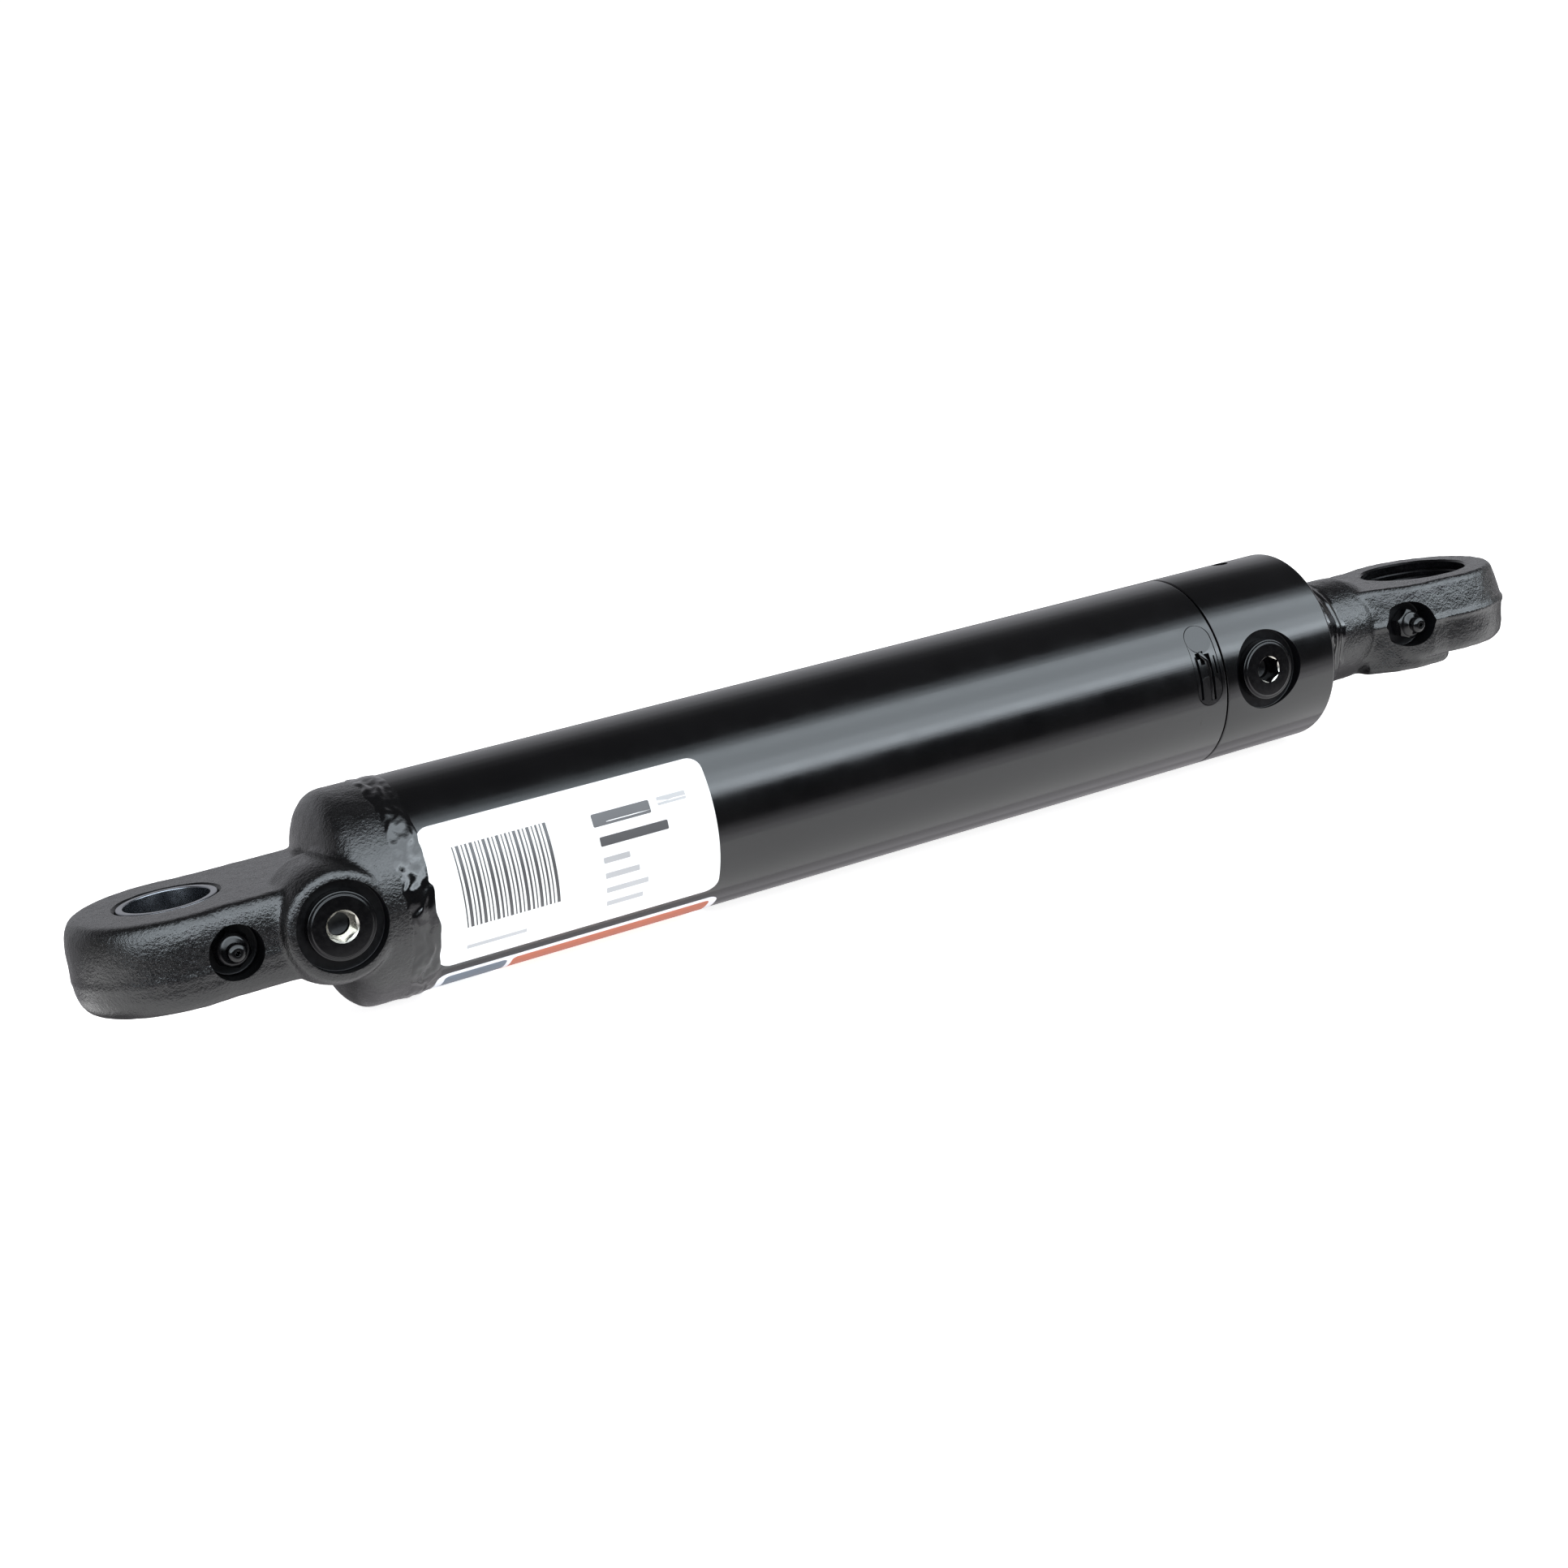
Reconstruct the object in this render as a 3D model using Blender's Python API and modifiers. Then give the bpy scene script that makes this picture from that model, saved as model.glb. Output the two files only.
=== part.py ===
"""Welded double-acting hydraulic cylinder with cross-tube tangs, fully retracted.

The frame: metres, +Z up. The origin is the centre of the base pin bore. +X runs along the barrel
towards the rod end, +Z runs along both pin bores, and the ports and grease fittings face -Y.
"""

import math

import bmesh
import bpy
from mathutils import Matrix, Vector

MM = 0.001

# Driving dimensions, in millimetres.
PIN_TO_PIN = 540.0
STROKE = 254.0
TUBE_OD = 76.2
TUBE_ID = 63.5
ROD_DIA = 38.1
GLAND_FACE_X = 463.3
GLAND_SEAM_X = 408.8
TANG_THICKNESS = 31.0
EYE_DIA = 71.0
BASE_BUSHING_ID = 28.8
BASE_BUSHING_OD = 33.8
ROD_EYE_BORE = 43.2
PORT_X = 46.4
GLAND_PORT_X = 429.6
PLUG_HEAD_DIA = 23.6
SPOTFACE_DIA = 31.4
PISTON_REAR_X = 84.0
PISTON_LENGTH = 42.0

# Shared clearances, in millimetres.
GAP = 0.3
SIDES = 32
RING_SIDES = 24

TUBE_R = TUBE_OD / 2
BORE_R = TUBE_ID / 2
ROD_R = ROD_DIA / 2
EYE_R = EYE_DIA / 2
TANG_HALF = TANG_THICKNESS / 2
EDGE_R = 4.0
PISTON_FRONT_X = PISTON_REAR_X + PISTON_LENGTH
GLAND_INNER_X = PISTON_FRONT_X + STROKE + 1.5

# The base end casting.
CAP_R = TUBE_R + 0.5
CAP_WELD_X = 69.8
CAP_STEP_X = 72.8
CAP_FACE_X = 80.0
SPIGOT_R = BORE_R - 0.35
NUT_RECESS_R = 24.0
NUT_RECESS_X = 60.0
BASE_TANG_HALF_WIDTH = 34.0
PORT_BOSS_R = 20.5
OIL_WAY_R = 6.0

# The tube and its wire-ring slot.
TUBE_START_X = 73.8
TUBE_END_X = GLAND_SEAM_X - 0.15
WIRE_X = 401.0
WIRE_R = 1.55
WIRE_RING_R = 31.65
SLOT_LOW_X = 394.5
SLOT_HIGH_X = 406.5
SLOT_TOP_DEG = 37.5
SLOT_BOTTOM_DEG = -12.0
HOOK_DEG = 48.0
TAIL_DEG = 19.0

# The gland head.
GLAND_NECK_R = SPIGOT_R
CHAMBER_R = 21.6
CHAMBER_END_X = 437.0
GLAND_BORE_R = ROD_R + 0.35
SPANNER_HOLE_X = 441.5
SPANNER_HOLE_DEG = 92.0
SPANNER_HOLE_R = 3.2
SPANNER_HOLE_FLOOR_R = 31.0
HOOK_HOLE_R = 2.0
HOOK_HOLE_FLOOR_R = 26.6
GLAND_O_RING_GROOVE = (386.0, 391.8)
GLAND_O_RING_GROOVE_R = 28.5
ROD_WEAR_GROOVE = (438.6, 444.6)
ROD_WEAR_GROOVE_R = 21.9
ROD_SEAL_GROOVE = (446.6, 453.0)
ROD_SEAL_GROOVE_R = 24.2
WIPER_SEAT_X = 455.0
WIPER_SEAT_R = 23.2

# The piston and its nut.
PISTON_BORE_R = 13.05
RING_GROOVE_R = 29.0
RING_GROOVE_START = 3.2
RING_GROOVE_WIDTH = 6.8
PISTON_SEAL_GROOVE = (16.0, 26.0)
PISTON_SEAL_GROOVE_R = 25.8
PISTON_O_RING_GROOVE = (19.0, 22.0)
PISTON_O_RING_GROOVE_R = 14.9
ROD_SPIGOT_R = 12.7
ROD_THREAD_R = 11.7
ROD_TAIL_X = 63.4
NUT_FLATS = 36.0
NUT_REAR_X = 66.5
NUT_CROWN_R = 21.5
NUT_THREAD_R = ROD_THREAD_R + 0.35

# The ports, measured inwards from the spotface floor.
SPOTFACE_Y = -33.6
PLUG_FACE_Y = -37.9
PORT_THREAD_R = 9.5
PORT_SEAT_R = 11.3
PORT_SEAT_DEPTH = 2.6
PLUG_HEX_AF = 9.5
PLUG_HEX_DEPTH = 7.0
PLUG_UNDERCUT_R = 8.6
PLUG_O_RING = (9.6, 0.75)

# The grease fittings.
FITTING_COUNTERBORE_R = 9.3
FITTING_THREAD_R = 4.9
FITTING_HEX_AF = 11.1
BASE_FITTING_X = 11.8
BASE_FITTING_TIP_Y = -35.5
ROD_FITTING_X = 511.5
ROD_FITTING_TIP_Y = -34.5
FITTING_LENGTH = 19.0
FITTING_CHANNEL_R = 1.9
FITTING_SEAT_DEPTH = 11.0
GREASE_WAY_R = 1.6
BALL_R = 1.45
SPRING_R = 1.2
SPRING_WIRE_R = 0.2

# The rod end.
ROD_WELD_X = 463.5
ROD_END_X = 470.2
NECK_START_X = 470.8
NECK_R = 21.6
NECK_FULL_X = 480.6
ROD_TANG_HALF_WIDTH = 33.0
ROD_EYE_GROOVE_DEPTH = 1.4
ROD_BLOCK_LOW_Z = -20.0

# The labels: how far each reaches along the tube and around it.
LABEL_X = (77.8, 184.0)
LABEL_DEG = (-42.0, 38.0)
DECAL_X = (78.5, 186.0)
DECAL_DEG = (-96.0, -50.0)
LABEL_MIDDLE_R = TUBE_R + 0.4
LABEL_THICKNESS = 0.2


def clear_scene():
    for old in list(bpy.data.objects):
        bpy.data.objects.remove(old, do_unlink=True)


def new_collection(name):
    collection = bpy.data.collections.new(name)
    bpy.context.scene.collection.children.link(collection)
    return collection


def material(name, colour, roughness, metallic):
    made = bpy.data.materials.new(name)
    made.use_nodes = True
    shader = made.node_tree.nodes["Principled BSDF"]
    shader.inputs["Base Color"].default_value = (*colour, 1.0)
    shader.inputs["Roughness"].default_value = roughness
    shader.inputs["Metallic"].default_value = metallic
    return made


clear_scene()
PARTS = new_collection("hydraulic_cylinder")
CUTTERS = new_collection("cutters")

BLACK_PAINT = material("black_paint", (0.020, 0.020, 0.022), 0.30, 0.0)
BLACK_CASTING = material("black_casting", (0.028, 0.028, 0.030), 0.42, 0.0)
WELD_PAINT = material("painted_weld", (0.022, 0.022, 0.024), 0.35, 0.0)
PLUG_BLACK = material("plug_black", (0.010, 0.010, 0.012), 0.22, 0.2)
CHROME = material("chrome", (0.80, 0.80, 0.82), 0.08, 1.0)
STEEL = material("bare_steel", (0.50, 0.50, 0.51), 0.32, 1.0)
ZINC = material("zinc_steel", (0.45, 0.45, 0.47), 0.35, 1.0)
BRONZE = material("bushing_steel", (0.55, 0.54, 0.52), 0.35, 1.0)
RUBBER = material("seal_rubber", (0.015, 0.015, 0.016), 0.60, 0.0)
URETHANE = material("seal_urethane", (0.05, 0.12, 0.30), 0.45, 0.0)
NYLON = material("wear_ring_nylon", (0.35, 0.30, 0.22), 0.50, 0.0)
PAPER = material("label_white", (0.80, 0.80, 0.80), 0.35, 0.0)
DECAL = material("decal_pale", (0.62, 0.64, 0.68), 0.35, 0.0)


def object_from(mesh, name, collection=PARTS, look=None):
    """An object for a mesh, smooth where it is round."""
    made = bpy.data.objects.new(name, mesh)
    collection.objects.link(made)
    mesh.shade_smooth()
    mesh.set_sharp_from_angle(angle=math.radians(32))
    if look:
        made.data.materials.clear()
        made.data.materials.append(look)
    return made


def hide_cutter(cutter):
    cutter.hide_render = True
    cutter.display_type = "WIRE"
    return cutter


def evaluated_mesh(source):
    """The mesh of an object with its modifiers, in its own space."""
    graph = bpy.context.evaluated_depsgraph_get()
    return bpy.data.meshes.new_from_object(source.evaluated_get(graph), depsgraph=graph)


def solid_copy(source, name, collection, look=None):
    """Turns a curve or a modified object into a plain closed mesh object in the same place."""
    mesh = evaluated_mesh(source)
    welded = bmesh.new()
    welded.from_mesh(mesh)
    bmesh.ops.remove_doubles(welded, verts=welded.verts, dist=0.00001)
    bmesh.ops.recalc_face_normals(welded, faces=welded.faces)
    welded.to_mesh(mesh)
    welded.free()
    place = source.matrix_world.copy()
    bpy.data.objects.remove(source, do_unlink=True)
    made = object_from(mesh, name, collection, look)
    made.matrix_world = place
    return made


def along_x(x=0.0):
    """Turns an object's own +Z to the cylinder's +X, at distance x."""
    return Matrix.Translation((x * MM, 0, 0)) @ Matrix.Rotation(math.pi / 2, 4, "Y")


def facing_viewer(x, y=0.0):
    """Turns an object's own +Z to -Y, the side of the ports, at (x, y, 0)."""
    return Matrix.Translation((x * MM, y * MM, 0)) @ Matrix.Rotation(math.pi / 2, 4, "X")


def turned(name, profile, placement, look=None, collection=PARTS, steps=SIDES, closed=True):
    """A solid of revolution about its own Z. profile is (height, radius) pairs in millimetres.

    A closed profile is a ring. An open one starts and ends on the axis. Both run so that the
    outer side goes from the top down, which the modifier needs for faces that point out.
    """
    mesh = bpy.data.meshes.new(name)
    points = [(radius * MM, 0.0, height * MM) for height, radius in profile]
    edges = [(i, i + 1) for i in range(len(points) - 1)]
    if closed:
        edges.append((len(points) - 1, 0))
    mesh.from_pydata(points, edges, [])
    made = bpy.data.objects.new(name, mesh)
    collection.objects.link(made)
    screw = made.modifiers.new("turn", "SCREW")
    screw.axis = "Z"
    screw.angle = 2 * math.pi
    screw.steps = steps
    screw.render_steps = steps
    screw.use_merge_vertices = True
    screw.merge_threshold = 0.00001
    made.matrix_world = placement
    bpy.context.view_layer.update()
    return solid_copy(made, name, collection, look)


def rod_profile(x_low, x_high, radius):
    """The open profile of a plain cylinder."""
    return [(x_high, 0.0), (x_high, radius), (x_low, radius), (x_low, 0.0)]


def ring_profile(x_low, x_high, inner, outer, chamfer=0.0):
    """The closed profile of a ring, with its outer corners cut."""
    c = chamfer
    if c == 0.0:
        return [(x_high, inner), (x_high, outer), (x_low, outer), (x_low, inner)]
    return [
        (x_high, inner),
        (x_high, outer - c),
        (x_high - c, outer),
        (x_low + c, outer),
        (x_low, outer - c),
        (x_low, inner),
    ]


def torus(name, major, minor, placement, look):
    """An O-ring about its own Z."""
    count = 7
    profile = []
    for i in range(count):
        angle = -2 * math.pi * i / count
        profile.append((minor * math.sin(angle), major + minor * math.cos(angle)))
    return turned(name, profile, placement, look, steps=RING_SIDES)


def bore_cutter(name, x_low, x_high, radius, placement, steps=SIDES):
    cutter = turned(name, rod_profile(x_low, x_high, radius), placement, None, CUTTERS, steps, False)
    return hide_cutter(cutter)


def boolean(target, tool, operation):
    change = target.modifiers.new(tool.name, "BOOLEAN")
    change.operation = operation
    change.object = tool
    change.solver = "EXACT"


def cut(target, *tools):
    for tool in tools:
        boolean(target, tool, "DIFFERENCE")


def join(target, *tools):
    for tool in tools:
        boolean(target, hide_cutter(tool), "UNION")


def hex_prism(name, flats, low, high, placement, collection=CUTTERS, spin=0.0):
    """A hexagonal bar along its own Z."""
    made = bmesh.new()
    corner_r = flats / math.sqrt(3) * MM
    bmesh.ops.create_cone(
        made, cap_ends=True, segments=6, radius1=corner_r, radius2=corner_r, depth=(high - low) * MM
    )
    shift = Matrix.Translation((0, 0, (low + high) / 2 * MM)) @ Matrix.Rotation(spin, 4, "Z")
    bmesh.ops.transform(made, matrix=shift, verts=made.verts)
    mesh = bpy.data.meshes.new(name)
    made.to_mesh(mesh)
    made.free()
    prism = object_from(mesh, name, collection)
    prism.matrix_world = placement
    return prism


def plate(name, outline, z_low, z_high, edge, collection, look=None):
    """A flat outline in X and Y, given thickness with rounded edges."""
    half = (z_high - z_low) / 2
    curve = bpy.data.curves.new(name, "CURVE")
    curve.dimensions = "2D"
    curve.fill_mode = "BOTH"
    curve.extrude = (half - edge) * MM
    curve.bevel_depth = edge * MM
    curve.bevel_resolution = 1
    curve.offset = -edge * MM
    spline = curve.splines.new("POLY")
    spline.points.add(len(outline) - 1)
    for point, (x, y) in zip(spline.points, outline):
        point.co = (x * MM, y * MM, 0, 1)
    spline.use_cyclic_u = True
    made = bpy.data.objects.new(name, curve)
    collection.objects.link(made)
    made.matrix_world = Matrix.Translation((0, 0, (z_low + z_high) / 2 * MM))
    bpy.context.view_layer.update()
    return solid_copy(made, name, collection, look)


def arc(cx, cy, radius, start_deg, end_deg, count):
    points = []
    for i in range(count):
        angle = math.radians(start_deg + (end_deg - start_deg) * i / (count - 1))
        points.append((cx + radius * math.cos(angle), cy + radius * math.sin(angle)))
    return points


def around(radius, degrees):
    """A point on a circle about X. 0 degrees faces the viewer's side, 90 is up."""
    angle = math.radians(degrees)
    return Vector((0, -radius * math.cos(angle), radius * math.sin(angle)))


def port_cutter(name, x, depth_y):
    """Spotface, O-ring seat, threaded hole and oil way of a port that faces -Y."""
    floor = -SPOTFACE_Y
    profile = [
        (floor + 12.0, 0.0),
        (floor + 12.0, SPOTFACE_DIA / 2),
        (floor, SPOTFACE_DIA / 2),
        (floor, PORT_SEAT_R),
        (floor - PORT_SEAT_DEPTH, PORT_THREAD_R),
        (floor - 11.0, PORT_THREAD_R),
        (floor - 12.5, OIL_WAY_R),
        (depth_y, OIL_WAY_R),
        (depth_y, 0.0),
    ]
    return hide_cutter(turned(name, profile, facing_viewer(x), None, CUTTERS, RING_SIDES, False))


def port_plug(prefix, x):
    """A hollow-hex plug and the O-ring under its head."""
    face = -PLUG_FACE_Y
    floor = -SPOTFACE_Y + GAP
    head_r = PLUG_HEAD_DIA / 2
    profile = [
        (face, 0.0),
        (face, head_r - 1.0),
        (face - 0.9, head_r),
        (floor, head_r),
        (floor, PLUG_UNDERCUT_R),
        (floor - 2.8, PLUG_UNDERCUT_R),
        (floor - 3.4, PORT_THREAD_R - GAP),
        (floor - 10.6, PORT_THREAD_R - GAP),
        (floor - 11.2, 8.4),
        (floor - 11.2, 0.0),
    ]
    plug = turned(prefix, profile, facing_viewer(x), PLUG_BLACK, steps=RING_SIDES, closed=False)
    socket = hide_cutter(
        hex_prism(prefix + "_hex", PLUG_HEX_AF, face - PLUG_HEX_DEPTH, face + 5.0, facing_viewer(x))
    )
    cut(plug, socket)
    torus(prefix + "_o_ring", *PLUG_O_RING, facing_viewer(x, -floor + 1.1), RUBBER)


def fitting_cutters(prefix, x, tip_y, bore_x, bore_r, overrun):
    """Counterbore, threaded hole and the grease way that runs on to the pin bore."""
    hex_seat = -tip_y - FITTING_SEAT_DEPTH
    thread_end = hex_seat - 8.3
    profile = [
        (-tip_y + 12.0, 0.0),
        (-tip_y + 12.0, FITTING_COUNTERBORE_R),
        (hex_seat - GAP, FITTING_COUNTERBORE_R),
        (hex_seat - GAP, FITTING_THREAD_R + GAP),
        (thread_end, FITTING_THREAD_R + GAP),
        (thread_end, 0.0),
    ]
    seat = turned(prefix + "_seat", profile, facing_viewer(x), None, CUTTERS, RING_SIDES, False)
    way_start = hex_seat - 5.0
    run = Vector((bore_x - x, way_start, 0))
    turn = run.normalized().to_track_quat("Z", "Y").to_matrix().to_4x4()
    start = Matrix.Translation((x * MM, -way_start * MM, 0))
    reach = run.length - bore_r + overrun
    way = turned(
        prefix + "_way", rod_profile(0.0, reach, GREASE_WAY_R), start @ turn, None, CUTTERS, 16, False
    )
    return hide_cutter(seat), hide_cutter(way)


def grease_fitting(prefix, x, tip_y):
    """A straight grease nipple with its hexagon, check ball and spring."""
    tip = -tip_y
    profile = [
        (tip, 0.9),
        (tip, 1.8),
        (tip - 0.8, 2.9),
        (tip - 2.2, 3.3),
        (tip - 3.6, 2.7),
        (tip - 4.6, 2.45),
        (tip - 5.6, 3.6),
        (tip - 6.5, 5.0),
        (tip - 10.7, 5.0),
        (tip - FITTING_SEAT_DEPTH, FITTING_THREAD_R),
        (tip - 18.4, FITTING_THREAD_R - 0.5),
        (tip - FITTING_LENGTH, FITTING_THREAD_R - 1.2),
        (tip - FITTING_LENGTH, 1.2),
        (tip - 18.0, FITTING_CHANNEL_R),
        (tip - 2.4, FITTING_CHANNEL_R),
        (tip - 1.2, 0.9),
    ]
    fitting = turned(prefix + "_fitting", profile, facing_viewer(x), ZINC, steps=16)
    flats = hex_prism(
        prefix + "_hex", FITTING_HEX_AF, tip - 10.9, tip - 6.3, facing_viewer(x), CUTTERS
    )
    channel = bore_cutter(
        prefix + "_channel", tip - 12.0, tip - 5.0, FITTING_CHANNEL_R, facing_viewer(x), 16
    )
    cut(flats, channel)
    join(fitting, flats)
    check_ball(prefix + "_check_ball", x, -(tip - 3.55))
    spring(prefix + "_spring", x, tip - 17.4, tip - 5.6)


def check_ball(name, x, y):
    ball = bmesh.new()
    bmesh.ops.create_uvsphere(ball, u_segments=10, v_segments=6, radius=BALL_R * MM)
    mesh = bpy.data.meshes.new(name)
    ball.to_mesh(mesh)
    ball.free()
    made = object_from(mesh, name, PARTS, STEEL)
    made.location = (x * MM, y * MM, 0)


def spring(name, x, low, high):
    """A coil along -Y, with its turns worked out by a formula."""
    turns, per_turn = 4, 8
    curve = bpy.data.curves.new(name, "CURVE")
    curve.dimensions = "3D"
    curve.bevel_depth = SPRING_WIRE_R * MM
    curve.bevel_resolution = 1
    curve.use_fill_caps = True
    path = curve.splines.new("POLY")
    count = turns * per_turn + 1
    path.points.add(count - 1)
    for i in range(count):
        angle = 2 * math.pi * i / per_turn
        height = low + (high - low) * i / (count - 1)
        across = SPRING_R * MM * math.cos(angle)
        up = SPRING_R * MM * math.sin(angle)
        path.points[i].co = (across, up, height * MM, 1)
    made = bpy.data.objects.new(name, curve)
    PARTS.objects.link(made)
    made.matrix_world = facing_viewer(x)
    bpy.context.view_layer.update()
    solid_copy(made, name, PARTS, STEEL)


def base_outline():
    """The base tang seen from above: the eye, then straight sides into the cap."""
    width = BASE_TANG_HALF_WIDTH
    meet = math.degrees(math.asin(width / EYE_R))
    points = arc(0, 0, EYE_R, meet, 360 - meet, 25)
    return points + [(56.0, -width), (56.0, width)]


def base_end_casting():
    casting = plate(
        "base_end_casting", base_outline(), -TANG_HALF, TANG_HALF, EDGE_R, PARTS, BLACK_CASTING
    )
    cap_profile = [
        (CAP_FACE_X, 0.0),
        (CAP_FACE_X, SPIGOT_R - 1.0),
        (CAP_FACE_X - 1.0, SPIGOT_R),
        (CAP_STEP_X, SPIGOT_R),
        (CAP_STEP_X, 32.6),
        (CAP_WELD_X, CAP_R),
        (57.5, CAP_R),
        (54.4, 37.2),
        (51.7, 34.4),
        (49.6, 30.0),
        (48.4, 24.0),
        (47.8, 14.0),
        (47.8, 0.0),
    ]
    cap = turned("base_cap", cap_profile, along_x(), None, CUTTERS, SIDES, False)
    boss_profile = [
        (-PLUG_FACE_Y + 0.3, 0.0),
        (-PLUG_FACE_Y + 0.3, PORT_BOSS_R - 2.2),
        (-PLUG_FACE_Y - 0.6, PORT_BOSS_R - 0.6),
        (-PLUG_FACE_Y - 2.6, PORT_BOSS_R),
        (10.0, PORT_BOSS_R),
        (10.0, 0.0),
    ]
    boss = turned(
        "base_boss", boss_profile, facing_viewer(PORT_X), None, CUTTERS, RING_SIDES, False
    )
    join(casting, cap, boss)
    upright = Matrix.Identity(4)
    pin_bore = bore_cutter(
        "base_pin_bore", -30, 30, BASE_BUSHING_OD / 2 + GAP, upright, RING_SIDES
    )
    recess = bore_cutter(
        "nut_recess", NUT_RECESS_X, CAP_FACE_X + 5, NUT_RECESS_R, along_x(), RING_SIDES
    )
    oil_way = bore_cutter(
        "base_oil_way", PORT_X - OIL_WAY_R, NUT_RECESS_X + 1, OIL_WAY_R - 0.2, along_x(), 24
    )
    seat, way = fitting_cutters(
        "base_fitting_bore", BASE_FITTING_X, BASE_FITTING_TIP_Y, 0.0, BASE_BUSHING_OD / 2, 1.0
    )
    cut(casting, pin_bore, recess, oil_way, port_cutter("base_port", PORT_X, -3.0), seat, way)


def base_weld_bead():
    profile = [
        (73.55, 33.0),
        (76.45, 38.25),
        (75.6, 39.0),
        (73.3, 39.4),
        (71.0, 39.2),
        (70.15, 38.75),
        (73.05, 33.0),
    ]
    turned("base_weld_bead", profile, along_x(), WELD_PAINT)


def base_tang_bushing():
    half = TANG_HALF - 0.2
    profile = ring_profile(-half, half, BASE_BUSHING_ID / 2, BASE_BUSHING_OD / 2, 0.6)
    bushing = turned(
        "base_tang_bushing", profile, Matrix.Identity(4), BRONZE, steps=RING_SIDES
    )
    hole_axis = Vector((BASE_FITTING_X, -19.5, 0)).normalized()
    turn = hole_axis.to_track_quat("Z", "Y").to_matrix().to_4x4()
    hole = bore_cutter("bushing_grease_hole", 5.0, 25.0, 1.5, turn, 12)
    cut(bushing, hole)


def radial_hole(name, x, degrees, low, high, radius, steps):
    """A round cutter that points straight out from the axis."""
    turn = around(1.0, degrees).to_track_quat("Z", "X").to_matrix().to_4x4()
    place = Matrix.Translation((x * MM, 0, 0)) @ turn
    return bore_cutter(name, low, high, radius, place, steps)


def slot_cutters():
    """The wire-ring slot: a sector of a ring, and a round end at each end."""
    width = SLOT_HIGH_X - SLOT_LOW_X
    middle = (SLOT_LOW_X + SLOT_HIGH_X) / 2
    end_turn = math.degrees((width / 2) / TUBE_R)
    top = SLOT_TOP_DEG - end_turn
    bottom = SLOT_BOTTOM_DEG + end_turn
    steps = 8
    sector = bmesh.new()
    rows = []
    for i in range(steps + 1):
        degrees = bottom + (top - bottom) * i / steps
        row = []
        for x in (SLOT_LOW_X, SLOT_HIGH_X):
            for radius in (BORE_R - 4, TUBE_R + 4):
                place = around(radius * MM, degrees) + Vector((x * MM, 0, 0))
                row.append(sector.verts.new(place))
        rows.append(row)
    for a, b in zip(rows, rows[1:]):
        for i, j in ((0, 1), (1, 3), (3, 2), (2, 0)):
            sector.faces.new((a[i], a[j], b[j], b[i]))
    for row in (rows[0], rows[-1]):
        sector.faces.new((row[0], row[1], row[3], row[2]))
    bmesh.ops.recalc_face_normals(sector, faces=sector.faces)
    mesh = bpy.data.meshes.new("slot_sector")
    sector.to_mesh(mesh)
    sector.free()
    cutters = [hide_cutter(object_from(mesh, "slot_sector", CUTTERS))]
    for end, degrees in (("slot_top", top), ("slot_bottom", bottom)):
        cutters.append(
            radial_hole(end, middle, degrees, BORE_R - 4, TUBE_R + 4, width / 2 + 0.01, 24)
        )
    return cutters


def barrel_tube():
    half = WIRE_R + 0.35
    profile = [
        (TUBE_END_X, BORE_R),
        (TUBE_END_X, TUBE_R - 0.4),
        (TUBE_END_X - 0.4, TUBE_R),
        (76.8, TUBE_R),
        (TUBE_START_X, 32.6),
        (TUBE_START_X, BORE_R),
        (WIRE_X - half, BORE_R),
        (WIRE_X - half, WIRE_RING_R + WIRE_R + GAP),
        (WIRE_X + half, WIRE_RING_R + WIRE_R + GAP),
        (WIRE_X + half, BORE_R),
    ]
    tube = turned("barrel_tube", profile, along_x(), BLACK_PAINT)
    cut(tube, *slot_cutters())


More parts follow.
